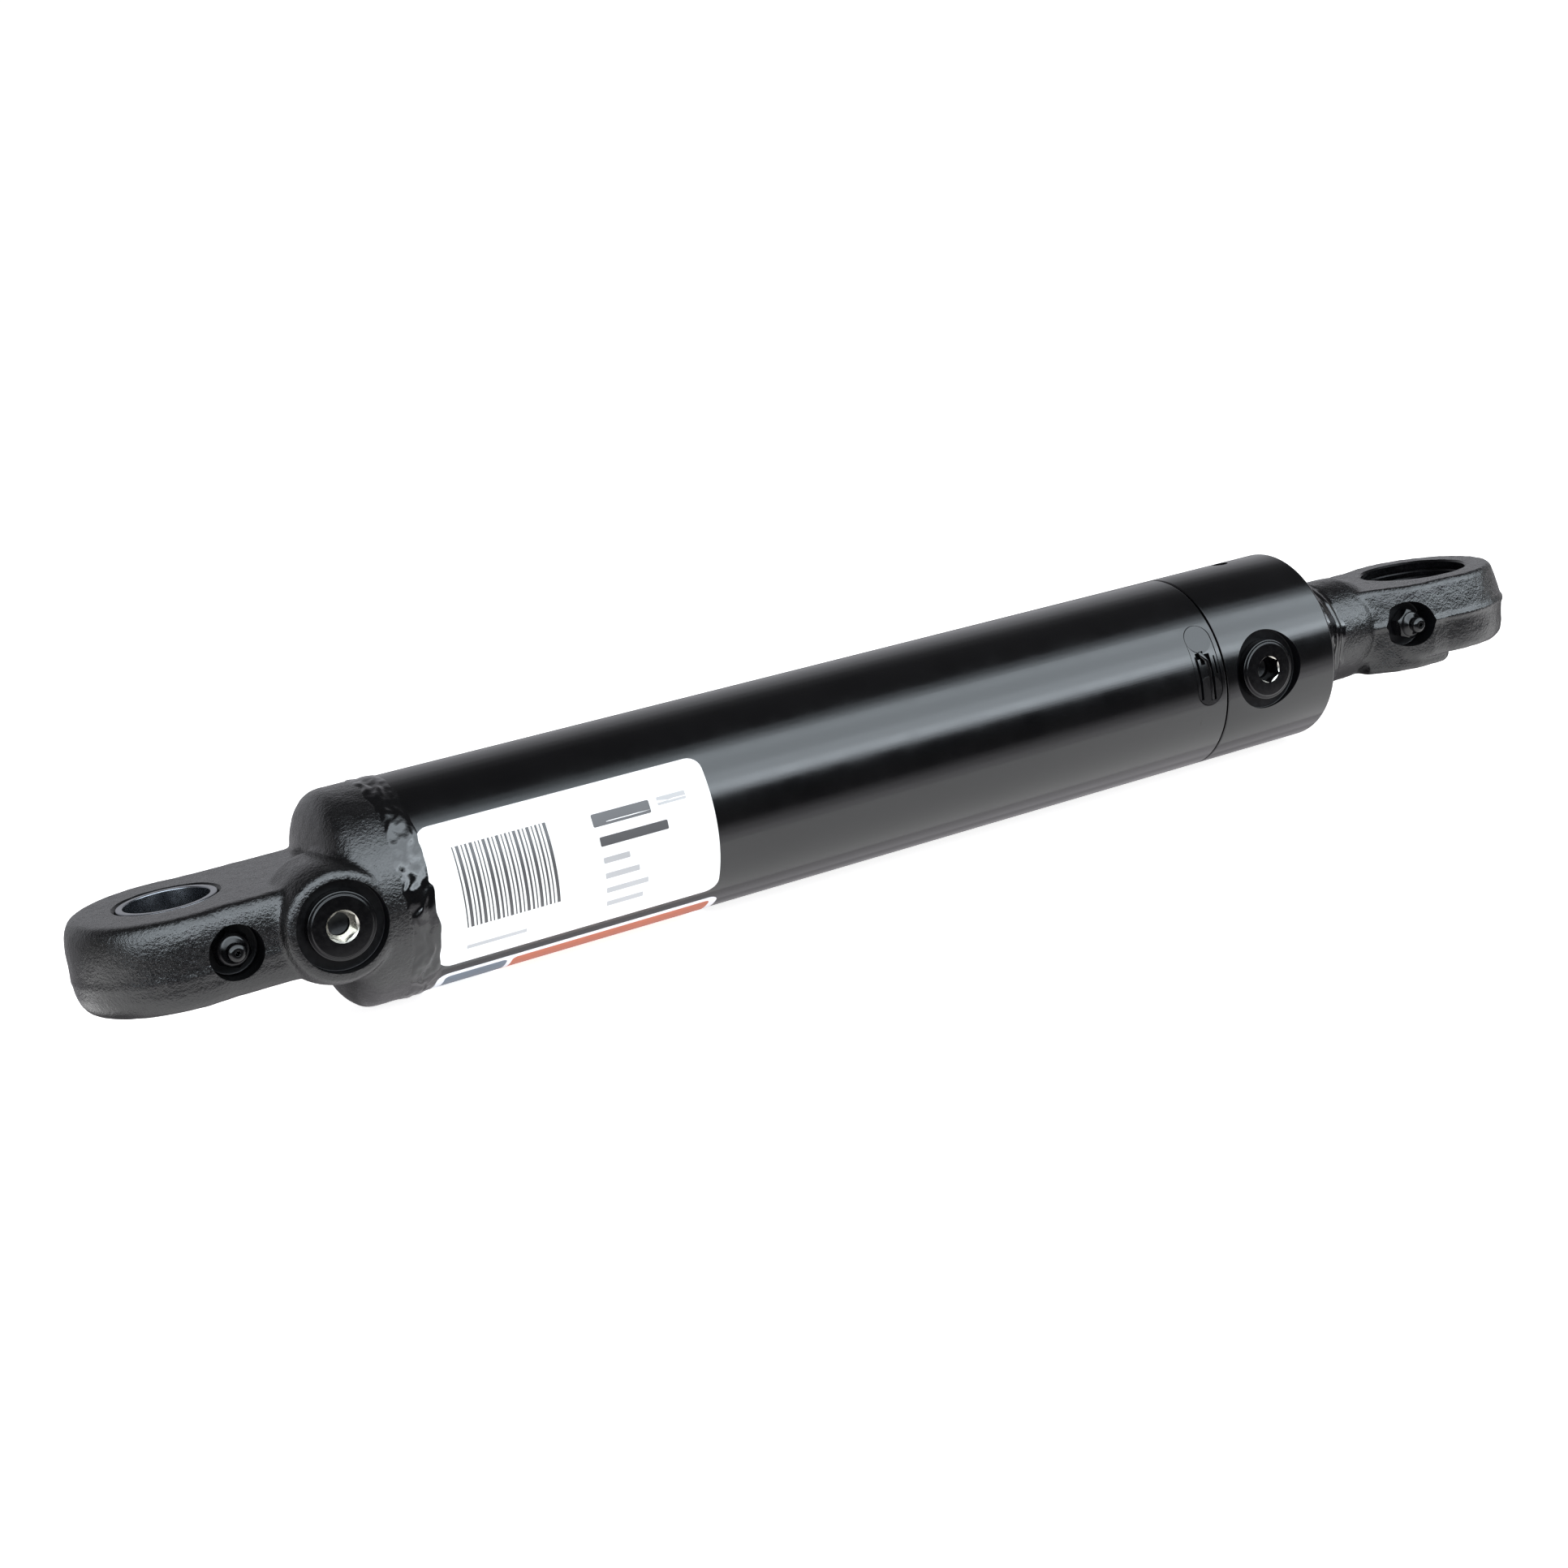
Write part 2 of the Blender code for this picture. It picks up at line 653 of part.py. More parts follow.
def gland_head():
    groove = WIRE_R + 0.35
    profile = [
        (GLAND_FACE_X, WIPER_SEAT_R),
        (GLAND_FACE_X, TUBE_R - 1.8),
        (GLAND_FACE_X - 0.6, TUBE_R - 0.6),
        (GLAND_FACE_X - 1.8, TUBE_R),
        (GLAND_SEAM_X + 0.55, TUBE_R),
        (GLAND_SEAM_X + 0.15, TUBE_R - 0.4),
        (GLAND_SEAM_X + 0.15, GLAND_NECK_R),
        (WIRE_X + groove, GLAND_NECK_R),
        (WIRE_X + groove, WIRE_RING_R - WIRE_R - GAP),
        (WIRE_X - groove, WIRE_RING_R - WIRE_R - GAP),
        (WIRE_X - groove, GLAND_NECK_R),
        (GLAND_O_RING_GROOVE[1], GLAND_NECK_R),
        (GLAND_O_RING_GROOVE[1], GLAND_O_RING_GROOVE_R),
        (GLAND_O_RING_GROOVE[0], GLAND_O_RING_GROOVE_R),
        (GLAND_O_RING_GROOVE[0], GLAND_NECK_R),
        (GLAND_INNER_X + 1.5, GLAND_NECK_R),
        (GLAND_INNER_X, GLAND_NECK_R - 1.2),
        (GLAND_INNER_X, CHAMBER_R),
        (CHAMBER_END_X, CHAMBER_R),
        (CHAMBER_END_X, GLAND_BORE_R),
        (ROD_WEAR_GROOVE[0], GLAND_BORE_R),
        (ROD_WEAR_GROOVE[0], ROD_WEAR_GROOVE_R),
        (ROD_WEAR_GROOVE[1], ROD_WEAR_GROOVE_R),
        (ROD_WEAR_GROOVE[1], GLAND_BORE_R),
        (ROD_SEAL_GROOVE[0], GLAND_BORE_R),
        (ROD_SEAL_GROOVE[0], ROD_SEAL_GROOVE_R),
        (ROD_SEAL_GROOVE[1], ROD_SEAL_GROOVE_R),
        (ROD_SEAL_GROOVE[1], GLAND_BORE_R),
        (WIPER_SEAT_X, GLAND_BORE_R),
        (WIPER_SEAT_X, WIPER_SEAT_R),
    ]
    gland = turned("gland_head", profile, along_x(), BLACK_PAINT)
    spanner = radial_hole(
        "spanner_hole", SPANNER_HOLE_X, SPANNER_HOLE_DEG, SPANNER_HOLE_FLOOR_R, 45.0, SPANNER_HOLE_R, 20
    )
    hook = radial_hole(
        "wire_hook_hole", WIRE_X, HOOK_DEG, HOOK_HOLE_FLOOR_R, 36.0, HOOK_HOLE_R, 16
    )
    cut(gland, port_cutter("gland_port", GLAND_PORT_X, 10.0), spanner, hook)


def retaining_wire():
    """The wire ring: its hooked end sits in the gland and its tail lies in the slot."""
    curve = bpy.data.curves.new("retaining_wire", "CURVE")
    curve.dimensions = "3D"
    curve.bevel_depth = WIRE_R * MM
    curve.bevel_resolution = 1
    curve.use_fill_caps = True
    ring_steps = 32
    sweep = 360.0 - (HOOK_DEG - TAIL_DEG)
    points = [around(HOOK_HOLE_FLOOR_R + 0.6, HOOK_DEG), around(29.4, HOOK_DEG)]
    for i in range(ring_steps + 1):
        points.append(around(WIRE_RING_R, HOOK_DEG + 3.5 + (sweep - 13.0) * i / ring_steps))
    points.append(around(WIRE_RING_R + 1.2, HOOK_DEG + sweep - 5.0))
    points.append(around(WIRE_RING_R + 3.4, HOOK_DEG + sweep))
    path = curve.splines.new("POLY")
    path.points.add(len(points) - 1)
    for point, place in zip(path.points, points):
        point.co = (WIRE_X * MM, place.y * MM, place.z * MM, 1)
    made = bpy.data.objects.new("retaining_wire", curve)
    PARTS.objects.link(made)
    bpy.context.view_layer.update()
    solid_copy(made, "retaining_wire", PARTS, PLUG_BLACK)


def gland_seals():
    torus("gland_o_ring", 30.1, 1.25, along_x(387.9), RUBBER)
    turned(
        "gland_backup_ring",
        ring_profile(389.9, 391.4, 28.8, SPIGOT_R),
        along_x(),
        NYLON,
        steps=RING_SIDES,
    )
    turned(
        "rod_wear_ring",
        ring_profile(438.9, 444.3, ROD_R + 0.2, 21.6),
        along_x(),
        NYLON,
        steps=RING_SIDES,
    )
    seal = [
        (452.7, ROD_R + 0.25),
        (452.7, 23.9),
        (447.0, 23.9),
        (447.0, 22.6),
        (449.6, 21.9),
        (447.0, 21.2),
        (447.0, ROD_R + 0.25),
    ]
    turned("rod_seal", seal, along_x(), URETHANE, steps=RING_SIDES)
    wiper = [
        (461.6, ROD_R + 0.3),
        (461.6, ROD_R + 0.9),
        (459.7, 21.0),
        (459.7, 22.9),
        (455.3, 22.9),
        (455.3, ROD_R + 1.2),
        (458.0, ROD_R + 1.2),
    ]
    turned("rod_wiper", wiper, along_x(), URETHANE, steps=RING_SIDES)


def piston():
    rear, front = PISTON_REAR_X, PISTON_FRONT_X
    outer = BORE_R - 0.4
    groove_end = RING_GROOVE_START + RING_GROOVE_WIDTH
    profile = [
        (front, PISTON_BORE_R),
        (front, outer - 1.2),
        (front - 1.2, outer),
        (front - RING_GROOVE_START, outer),
        (front - RING_GROOVE_START, RING_GROOVE_R),
        (front - groove_end, RING_GROOVE_R),
        (front - groove_end, outer),
        (rear + PISTON_SEAL_GROOVE[1], outer),
        (rear + PISTON_SEAL_GROOVE[1], PISTON_SEAL_GROOVE_R),
        (rear + PISTON_SEAL_GROOVE[0], PISTON_SEAL_GROOVE_R),
        (rear + PISTON_SEAL_GROOVE[0], outer),
        (rear + groove_end, outer),
        (rear + groove_end, RING_GROOVE_R),
        (rear + RING_GROOVE_START, RING_GROOVE_R),
        (rear + RING_GROOVE_START, outer),
        (rear + 1.2, outer),
        (rear, outer - 1.2),
        (rear, PISTON_BORE_R),
        (rear + PISTON_O_RING_GROOVE[0], PISTON_BORE_R),
        (rear + PISTON_O_RING_GROOVE[0], PISTON_O_RING_GROOVE_R),
        (rear + PISTON_O_RING_GROOVE[1], PISTON_O_RING_GROOVE_R),
        (rear + PISTON_O_RING_GROOVE[1], PISTON_BORE_R),
    ]
    turned("piston", profile, along_x(), STEEL)
    torus("piston_o_ring", 13.85, 0.75, along_x(rear + 20.5), RUBBER)


def piston_rings():
    rear, front = PISTON_REAR_X, PISTON_FRONT_X
    for name, low in (("piston_wear_ring_rear", rear + 3.5), ("piston_wear_ring_front", front - 9.7)):
        turned(name, ring_profile(low, low + 6.2, 29.3, BORE_R - 0.2), along_x(), NYLON)
    turned(
        "piston_seal",
        ring_profile(rear + 16.6, rear + 25.4, 28.6, BORE_R - 0.2, 0.5),
        along_x(),
        URETHANE,
    )
    energizer = ring_profile(rear + 17.6, rear + 24.4, 26.1, 28.3, 0.6)
    turned("piston_seal_energizer", energizer, along_x(), RUBBER)


def piston_rod():
    profile = [
        (ROD_END_X, 0.0),
        (ROD_END_X, 12.0),
        (ROD_WELD_X, ROD_R),
        (PISTON_FRONT_X + GAP, ROD_R),
        (PISTON_FRONT_X + GAP, ROD_SPIGOT_R),
        (PISTON_REAR_X - 0.2, ROD_SPIGOT_R),
        (PISTON_REAR_X - 0.2, ROD_THREAD_R),
        (ROD_TAIL_X + 1.2, ROD_THREAD_R),
        (ROD_TAIL_X, ROD_THREAD_R - 1.2),
        (ROD_TAIL_X, 0.0),
    ]
    turned("piston_rod", profile, along_x(), CHROME, closed=False)


def piston_nut():
    nut = hex_prism("piston_nut", NUT_FLATS, NUT_REAR_X, PISTON_REAR_X - GAP, along_x(), PARTS)
    nut.data.materials.append(ZINC)
    thread = bore_cutter("nut_thread", 60.0, 90.0, NUT_THREAD_R, along_x(), RING_SIDES)
    rounding = turned(
        "nut_rounding",
        [
            (PISTON_REAR_X + 3, 0.0),
            (PISTON_REAR_X + 3, NUT_CROWN_R),
            (69.0, NUT_CROWN_R),
            (66.2, 18.4),
            (60.0, 18.4),
            (60.0, 0.0),
        ],
        along_x(),
        None,
        CUTTERS,
        RING_SIDES,
        False,
    )
    boolean(nut, hide_cutter(rounding), "INTERSECT")
    cut(nut, thread)


def rod_weld_bead():
    profile = [
        (470.5, 12.6),
        (480.3, 21.9),
        (479.0, 22.9),
        (476.0, 24.1),
        (472.0, 24.6),
        (468.0, 24.0),
        (465.3, 22.0),
        (463.9, 19.35),
    ]
    turned("rod_weld_bead", profile, along_x(), WELD_PAINT, steps=SIDES)


def rod_outline():
    """The rod end tang seen from above: the neck, the flare and the eye."""
    width = ROD_TANG_HALF_WIDTH
    meet = math.degrees(math.asin(width / EYE_R))
    flare = [(494.0, 19.0), (499.0, 20.5), (505.0, 25.5), (512.0, 30.8), (520.0, width)]
    eye = arc(PIN_TO_PIN, 0, EYE_R, -(180 - meet), 180 - meet, 25)
    return [(x, -y) for x, y in flare] + eye + list(reversed(flare))


def rod_end_tang():
    tang = plate(
        "rod_end_tang", rod_outline(), -TANG_HALF, TANG_HALF, EDGE_R, PARTS, BLACK_CASTING
    )
    neck_profile = [
        (512.0, 0.0),
        (512.0, 13.0),
        (506.0, 18.6),
        (500.5, 20.8),
        (496.5, NECK_R),
        (NECK_FULL_X, NECK_R),
        (NECK_START_X, 12.0),
        (NECK_START_X, 0.0),
    ]
    neck = turned("rod_neck", neck_profile, along_x(), None, CUTTERS, SIDES, False)
    block_outline = [
        (500.0, -18.0),
        (508.0, -25.0),
        (516.0, -28.0),
        (530.0, -28.0),
        (535.5, -24.0),
        (535.5, 24.0),
        (530.0, 28.0),
        (516.0, 28.0),
        (508.0, 25.0),
        (500.0, 18.0),
    ]
    block = plate("rod_lower_block", block_outline, ROD_BLOCK_LOW_Z, -2.0, 3.0, CUTTERS)
    join(tang, neck, block)
    eye_place = Matrix.Translation((PIN_TO_PIN * MM, 0, 0))
    eye_profile = [
        (30.0, 0.0),
        (30.0, ROD_EYE_BORE / 2),
        (2.2, ROD_EYE_BORE / 2),
        (1.2, ROD_EYE_BORE / 2 + ROD_EYE_GROOVE_DEPTH),
        (-1.2, ROD_EYE_BORE / 2 + ROD_EYE_GROOVE_DEPTH),
        (-2.2, ROD_EYE_BORE / 2),
        (-30.0, ROD_EYE_BORE / 2),
        (-30.0, 0.0),
    ]
    eye = hide_cutter(
        turned("rod_eye_bore", eye_profile, eye_place, None, CUTTERS, RING_SIDES, False)
    )
    seat, way = fitting_cutters(
        "rod_fitting_bore", ROD_FITTING_X, ROD_FITTING_TIP_Y, PIN_TO_PIN, ROD_EYE_BORE / 2, 2.0
    )
    cut(tang, eye, seat, way)


def wrapped_sheet(name, along, degrees, look):
    """A thin sheet that follows the tube's curve."""
    mesh = bpy.data.meshes.new(name)
    low_deg, high_deg = degrees
    start = math.radians(-high_deg)
    radius = LABEL_MIDDLE_R * MM
    points = [(radius * math.cos(start), radius * math.sin(start), x * MM) for x in along]
    mesh.from_pydata(points, [(0, 1)], [])
    made = bpy.data.objects.new(name, mesh)
    PARTS.objects.link(made)
    sweep = made.modifiers.new("sweep", "SCREW")
    sweep.axis = "Z"
    sweep.angle = math.radians(high_deg - low_deg)
    sweep.steps = 12
    sweep.render_steps = 12
    sweep.use_merge_vertices = False
    skin = made.modifiers.new("skin", "SOLIDIFY")
    skin.thickness = LABEL_THICKNESS * MM
    skin.offset = 0.0
    # The sheet's own +X becomes -Y, its +Y becomes -Z and its +Z becomes the cylinder's +X.
    made.matrix_world = Matrix(((0, 0, 1, 0), (-1, 0, 0, 0), (0, -1, 0, 0), (0, 0, 0, 1)))
    bpy.context.view_layer.update()
    return solid_copy(made, name, PARTS, look)


def labels():
    wrapped_sheet("spec_label", LABEL_X, LABEL_DEG, PAPER)
    wrapped_sheet("side_decal", DECAL_X, DECAL_DEG, DECAL)


base_end_casting()
base_weld_bead()
base_tang_bushing()
grease_fitting("base_grease", BASE_FITTING_X, BASE_FITTING_TIP_Y)
port_plug("base_port_plug", PORT_X)
barrel_tube()
gland_head()
retaining_wire()
gland_seals()
port_plug("gland_port_plug", GLAND_PORT_X)
piston()
piston_rings()
piston_rod()
piston_nut()
rod_weld_bead()
rod_end_tang()
grease_fitting("rod_grease", ROD_FITTING_X, ROD_FITTING_TIP_Y)
labels()
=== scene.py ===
"""The looks of a welded hydraulic cylinder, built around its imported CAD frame.

Metres, +Z up. The base pin bore is at the origin, +X runs towards the rod end, and the ports,
grease fittings and labels face -Y.
"""
import math

import bmesh
import bpy
from mathutils import Euler, Matrix, Vector, noise


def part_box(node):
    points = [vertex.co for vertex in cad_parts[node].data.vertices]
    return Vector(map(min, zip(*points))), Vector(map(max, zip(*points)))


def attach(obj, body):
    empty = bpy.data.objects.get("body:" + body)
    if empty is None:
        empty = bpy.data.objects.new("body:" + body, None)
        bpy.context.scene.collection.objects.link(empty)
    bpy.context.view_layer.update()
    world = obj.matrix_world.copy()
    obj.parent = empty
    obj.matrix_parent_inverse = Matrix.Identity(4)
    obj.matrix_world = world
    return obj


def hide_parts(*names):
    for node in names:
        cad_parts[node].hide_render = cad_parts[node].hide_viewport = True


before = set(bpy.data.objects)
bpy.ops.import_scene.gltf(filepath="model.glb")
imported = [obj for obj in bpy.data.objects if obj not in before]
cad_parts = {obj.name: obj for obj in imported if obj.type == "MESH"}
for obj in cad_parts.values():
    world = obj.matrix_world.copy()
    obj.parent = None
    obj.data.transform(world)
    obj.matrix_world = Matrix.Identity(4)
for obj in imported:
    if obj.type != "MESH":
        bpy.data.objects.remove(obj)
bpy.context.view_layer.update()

MM = 0.001
SHARP_DEG = 35


def centre(node):
    low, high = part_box(node)
    return (Vector(low) + Vector(high)) / 2


def low_high(node, axis):
    low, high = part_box(node)
    return low[axis], high[axis]


# Places and sizes read from the frame.
TUBE_LOW_X, TUBE_HIGH_X = low_high("barrel_tube", 0)
TUBE_R = low_high("barrel_tube", 2)[1]
GLAND_FACE_X = low_high("gland_head", 0)[1]
BEAD_LOW_X, BEAD_HIGH_X = low_high("base_weld_bead", 0)
ROD_BEAD_LOW_X, ROD_BEAD_HIGH_X = low_high("rod_weld_bead", 0)
ROD_R = low_high("piston_rod", 2)[1]
PORT_X = centre("base_port_plug").x
GLAND_PORT_X = centre("gland_port_plug").x
PLUG_R = low_high("base_port_plug", 2)[1]
PLUG_FACE = -low_high("base_port_plug", 1)[0]
TANG_HALF = low_high("base_tang_bushing", 2)[1] + 0.2 * MM
EYE_R = -low_high("base_end_casting", 0)[0]
BUSHING_R = low_high("base_tang_bushing", 0)[1]
BUSHING_BORE_R = BUSHING_R - 2.5 * MM
ROD_EYE_X = low_high("rod_end_tang", 0)[1] - EYE_R
ROD_EYE_R = 21.6 * MM
WIRE_X = centre("retaining_wire").x
BASE_FITTING = centre("base_grease_fitting")
BASE_TIP = -low_high("base_grease_fitting", 1)[0]
ROD_FITTING = centre("rod_grease_fitting")
ROD_TIP = -low_high("rod_grease_fitting", 1)[0]
LABEL_LOW_X, LABEL_HIGH_X = low_high("spec_label", 0)
DECAL_LOW_X, DECAL_HIGH_X = low_high("side_decal", 0)

# Sizes inside nodes, which the frame's boxes don't give.
SPOTFACE_R = 15.7 * MM
SPOTFACE_DEPTH = 4.3 * MM
COUNTERBORE_R = 9.3 * MM
COUNTERBORE_DEPTH = 11.3 * MM
NIPPLE_BODY_R = 5.2 * MM
ROD_SEALS_LOW_X = 437 * MM
ROD_SEALS_R = 21.6 * MM
WIPER_SEAT_X = 455 * MM
WIPER_SEAT_R = 23.2 * MM
PISTON_STEP_X = 126.3 * MM
PISTON_STEP_R = 12.7 * MM
ROD_THREAD_X = 83.8 * MM
ROD_THREAD_R = 11.7 * MM
FILM = 0.12 * MM
PRINT = 0.02 * MM
PRINT_R = TUBE_R + 0.135 * MM

# Slot of the retaining wire, in degrees around the tube (0 faces -Y, 90 is up).
SLOT_HALF = 6.0 * MM
SLOT_X = WIRE_X - 0.5 * MM
SLOT_TOP = 37.5
SLOT_BOTTOM = -12.0


# ---------------------------------------------------------------- mesh helpers

def new_object(name, bm, materials, smooth_deg=SHARP_DEG):
    mesh = bpy.data.meshes.new(name)
    bm.to_mesh(mesh)
    bm.free()
    made = bpy.data.objects.new(name, mesh)
    bpy.context.scene.collection.objects.link(made)
    for look in materials:
        mesh.materials.append(look)
    mesh.shade_smooth()
    mesh.set_sharp_from_angle(angle=math.radians(smooth_deg))
    return made


def along_x(x=0.0):
    """Own +Z becomes +X."""
    return Matrix.Translation((x, 0, 0)) @ Matrix.Rotation(math.pi / 2, 4, "Y")


def facing_viewer(x, z=0.0):
    """Own +Z becomes -Y."""
    return Matrix.Translation((x, 0, z)) @ Matrix.Rotation(math.pi / 2, 4, "X")


def around(radius, degrees, x=0.0):
    """A point on a circle about the cylinder's axis."""
    angle = math.radians(degrees)
    return Vector((x, -radius * math.cos(angle), radius * math.sin(angle)))


def rounded(profile, steps=5):
    """Rounds a profile's corners. Each point is (height, radius) or (height, radius, rounding)."""
    points = []
    count = len(profile)
    for i, point in enumerate(profile):
        here = Vector(point[:2])
        if len(point) < 3 or point[2] == 0:
            points.append(here)
            continue
        before = Vector(profile[i - 1][:2]) - here
        after = Vector(profile[(i + 1) % count][:2]) - here
        reach = min(point[2], before.length * 0.49, after.length * 0.49)
        start = here + before.normalized() * reach
        end = here + after.normalized() * reach
        for k in range(steps + 1):
            t = k / steps
            points.append(start.lerp(here, t).lerp(here.lerp(end, t), t))
    return points


def turn_into(bm, profile, placement, steps=128):
    """Adds a closed solid of revolution. Its profile starts and ends on the axis, or is a ring."""
    on_axis = abs(profile[0][1]) < 1e-9
    rows = []
    for height, radius in profile:
        if abs(radius) < 1e-9:
            rows.append([bm.verts.new(placement @ Vector((0, 0, height)))])
            continue
        ring = []
        for i in range(steps):
            angle = 2 * math.pi * i / steps
            place = Vector((radius * math.cos(angle), radius * math.sin(angle), height))
            ring.append(bm.verts.new(placement @ place))
        rows.append(ring)
    pairs = list(zip(rows, rows[1:]))
    if not on_axis:
        pairs.append((rows[-1], rows[0]))
    for a, b in pairs:
        for i in range(steps):
            j = (i + 1) % steps
            if len(a) == 1 and len(b) == 1:
                break
            if len(a) == 1:
                corners = (a[0], b[i], b[j])
            elif len(b) == 1:
                corners = (a[j], a[i], b[0])
            else:
                corners = (a[j], a[i], b[i], b[j])
            bm.faces.new(corners)


def turned(name, profile, placement, materials, steps=128):
    bm = bmesh.new()
    turn_into(bm, profile, placement, steps)
    bmesh.ops.recalc_face_normals(bm, faces=bm.faces)
    return new_object(name, bm, materials)


def prism_into(bm, flats, low, high, placement, spin=0.0):
    """Adds a hexagonal bar along the placement's own Z."""
    corner = flats / math.sqrt(3)
    shift = placement @ Matrix.Translation((0, 0, (low + high) / 2)) @ Matrix.Rotation(spin, 4, "Z")
    bmesh.ops.create_cone(
        bm, cap_ends=True, segments=6, radius1=corner, radius2=corner, depth=high - low, matrix=shift
    )


def apply_modifiers(target):
    graph = bpy.context.evaluated_depsgraph_get()
    mesh = bpy.data.meshes.new_from_object(target.evaluated_get(graph), depsgraph=graph)
    old = target.data
    target.modifiers.clear()
    target.data = mesh
    bpy.data.meshes.remove(old)
    return target


def cut(target, tools, operation="DIFFERENCE"):
    """Cuts a piece by temporary solids. A cut face takes the cutter's material where it has one."""
    for tool in tools:
        change = target.modifiers.new("cut", "BOOLEAN")
        change.operation = operation
        change.object = tool
        change.solver = "MANIFOLD"
        change.material_mode = "TRANSFER"
    apply_modifiers(target)
    for tool in tools:
        bpy.data.objects.remove(tool, do_unlink=True)
    target.data.shade_smooth()
    target.data.set_sharp_from_angle(angle=math.radians(SHARP_DEG))


def place(piece, body, slot_name, *nodes):
    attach(piece, body)
    if nodes:
        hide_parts(*nodes)


# ---------------------------------------------------------------- materials

def base_material(name, colour, roughness, metallic=0.0, ior=1.5):
    look = bpy.data.materials.new(name)
    look.use_nodes = True
    shader = look.node_tree.nodes["Principled BSDF"]
    shader.inputs["Base Color"].default_value = (*colour, 1.0)
    shader.inputs["Roughness"].default_value = roughness
    shader.inputs["Metallic"].default_value = metallic
    shader.inputs["IOR"].default_value = ior
    return look


def node(look, kind, **values):
    made = look.node_tree.nodes.new(kind)
    for key, value in values.items():
        if key in made.inputs:
            made.inputs[key].default_value = value
        else:
            setattr(made, key, value)
    return made


def link(look, source, output, target, socket):
    look.node_tree.links.new(source.outputs[output], target.inputs[socket])


def noise_texture(look, scale, detail=3.0, rough=0.5, stretch=None):
    """Noise in the object's own metres; scale is in cycles per metre."""
    coords = node(look, "ShaderNodeTexCoord")
    texture = node(look, "ShaderNodeTexNoise", Scale=scale, Detail=detail, Roughness=rough)
    if stretch:
        mapping = node(look, "ShaderNodeMapping")
        mapping.inputs["Scale"].default_value = stretch
        link(look, coords, "Object", mapping, "Vector")
        link(look, mapping, "Vector", texture, "Vector")
    else:
        link(look, coords, "Object", texture, "Vector")
    return texture


def ramp(look, source, output, stops):
    made = node(look, "ShaderNodeValToRGB")
    elements = made.color_ramp.elements
    while len(elements) < len(stops):
        elements.new(0.5)
    for element, (position, value) in zip(elements, stops):
        element.position = position
        element.color = (*value, 1.0)
    link(look, source, output, made, "Fac")
    return made


def vary_colour(look, texture, dark, light):
    shader = look.node_tree.nodes["Principled BSDF"]
    colours = ramp(look, texture, "Fac", [(0.35, dark), (0.65, light)])
    link(look, colours, "Color", shader, "Base Color")


def vary_roughness(look, texture, least, most):
    shader = look.node_tree.nodes["Principled BSDF"]
    spread = node(look, "ShaderNodeMapRange")
    spread.inputs["From Min"].default_value = 0.3
    spread.inputs["From Max"].default_value = 0.7
    spread.inputs["To Min"].default_value = least
    spread.inputs["To Max"].default_value = most
    link(look, texture, "Fac", spread, "Value")
    link(look, spread, "Result", shader, "Roughness")


def bump(look, texture, distance, strength, before=None):
    """Adds a bump; several chain through before."""
    made = node(look, "ShaderNodeBump", Strength=strength, Distance=distance)
    link(look, texture, "Fac", made, "Height")
    if before:
        link(look, before, "Normal", made, "Normal")
    link(look, made, "Normal", look.node_tree.nodes["Principled BSDF"], "Normal")
    return made


def barrel_enamel():
    """Semi-gloss black enamel with a light orange peel and faint dust."""
    look = base_material("barrel_enamel", (0.0015, 0.0015, 0.002), 0.17, ior=1.53)
    vary_colour(look, noise_texture(look, 35, 4), (0.001, 0.001, 0.0014), (0.0022, 0.0022, 0.0027))
    vary_roughness(look, noise_texture(look, 90, 4), 0.14, 0.20)
    peel = bump(look, noise_texture(look, 420, 2), 0.00002, 0.45)
    bump(look, noise_texture(look, 2600, 2), 0.000006, 0.35, peel)
    return look


def casting_enamel():
    """The same enamel over a rough forged skin, with the grain showing through."""
    look = base_material("casting_enamel", (0.002, 0.002, 0.0025), 0.24, ior=1.55)
    vary_colour(look, noise_texture(look, 260, 4), (0.0014, 0.0014, 0.0018), (0.004, 0.004, 0.0045))
    vary_roughness(look, noise_texture(look, 700, 3), 0.17, 0.28)
    lumps = bump(look, noise_texture(look, 1000, 2, 0.5), 0.00024, 0.85)
    bump(look, noise_texture(look, 2300, 2, 0.6), 0.00011, 0.9, lumps)
    return look


def pit_enamel():
    """The thin dull enamel inside recesses."""
    look = base_material("pit_enamel", (0.002, 0.002, 0.003), 0.35, ior=1.3)
    vary_roughness(look, noise_texture(look, 600, 3), 0.28, 0.45)
    bump(look, noise_texture(look, 900, 2), 0.00002, 0.5)
    return look


def weld_enamel():
    """Enamel pooled over weld ripples."""
    look = base_material("weld_enamel", (0.0015, 0.0015, 0.002), 0.12, ior=1.56)
    vary_roughness(look, noise_texture(look, 300, 3), 0.08, 0.17)
    bump(look, noise_texture(look, 330, 3, 0.55), 0.00022, 0.6)
    return look


def plug_gloss():
    look = base_material("plug_gloss", (0.001, 0.001, 0.0015), 0.2, ior=1.42)
    vary_roughness(look, noise_texture(look, 700, 3), 0.15, 0.26)
    bump(look, noise_texture(look, 900, 2), 0.000008, 0.6)
    return look


def bare_metal(name, colour, roughness, scale=600, stretch=None):
    look = base_material(name, colour, roughness, metallic=1.0)
    vary_roughness(look, noise_texture(look, scale, 4, stretch=stretch), roughness * 0.8, roughness * 1.3)
    bump(look, noise_texture(look, scale * 2, 3, stretch=stretch), 0.000012, 0.5)
    return look


def rubber(name, colour, roughness=0.55):
    look = base_material(name, colour, roughness)
    vary_roughness(look, noise_texture(look, 900, 3), roughness * 0.85, roughness * 1.15)
    bump(look, noise_texture(look, 1500, 2), 0.00001, 0.5)
    return look


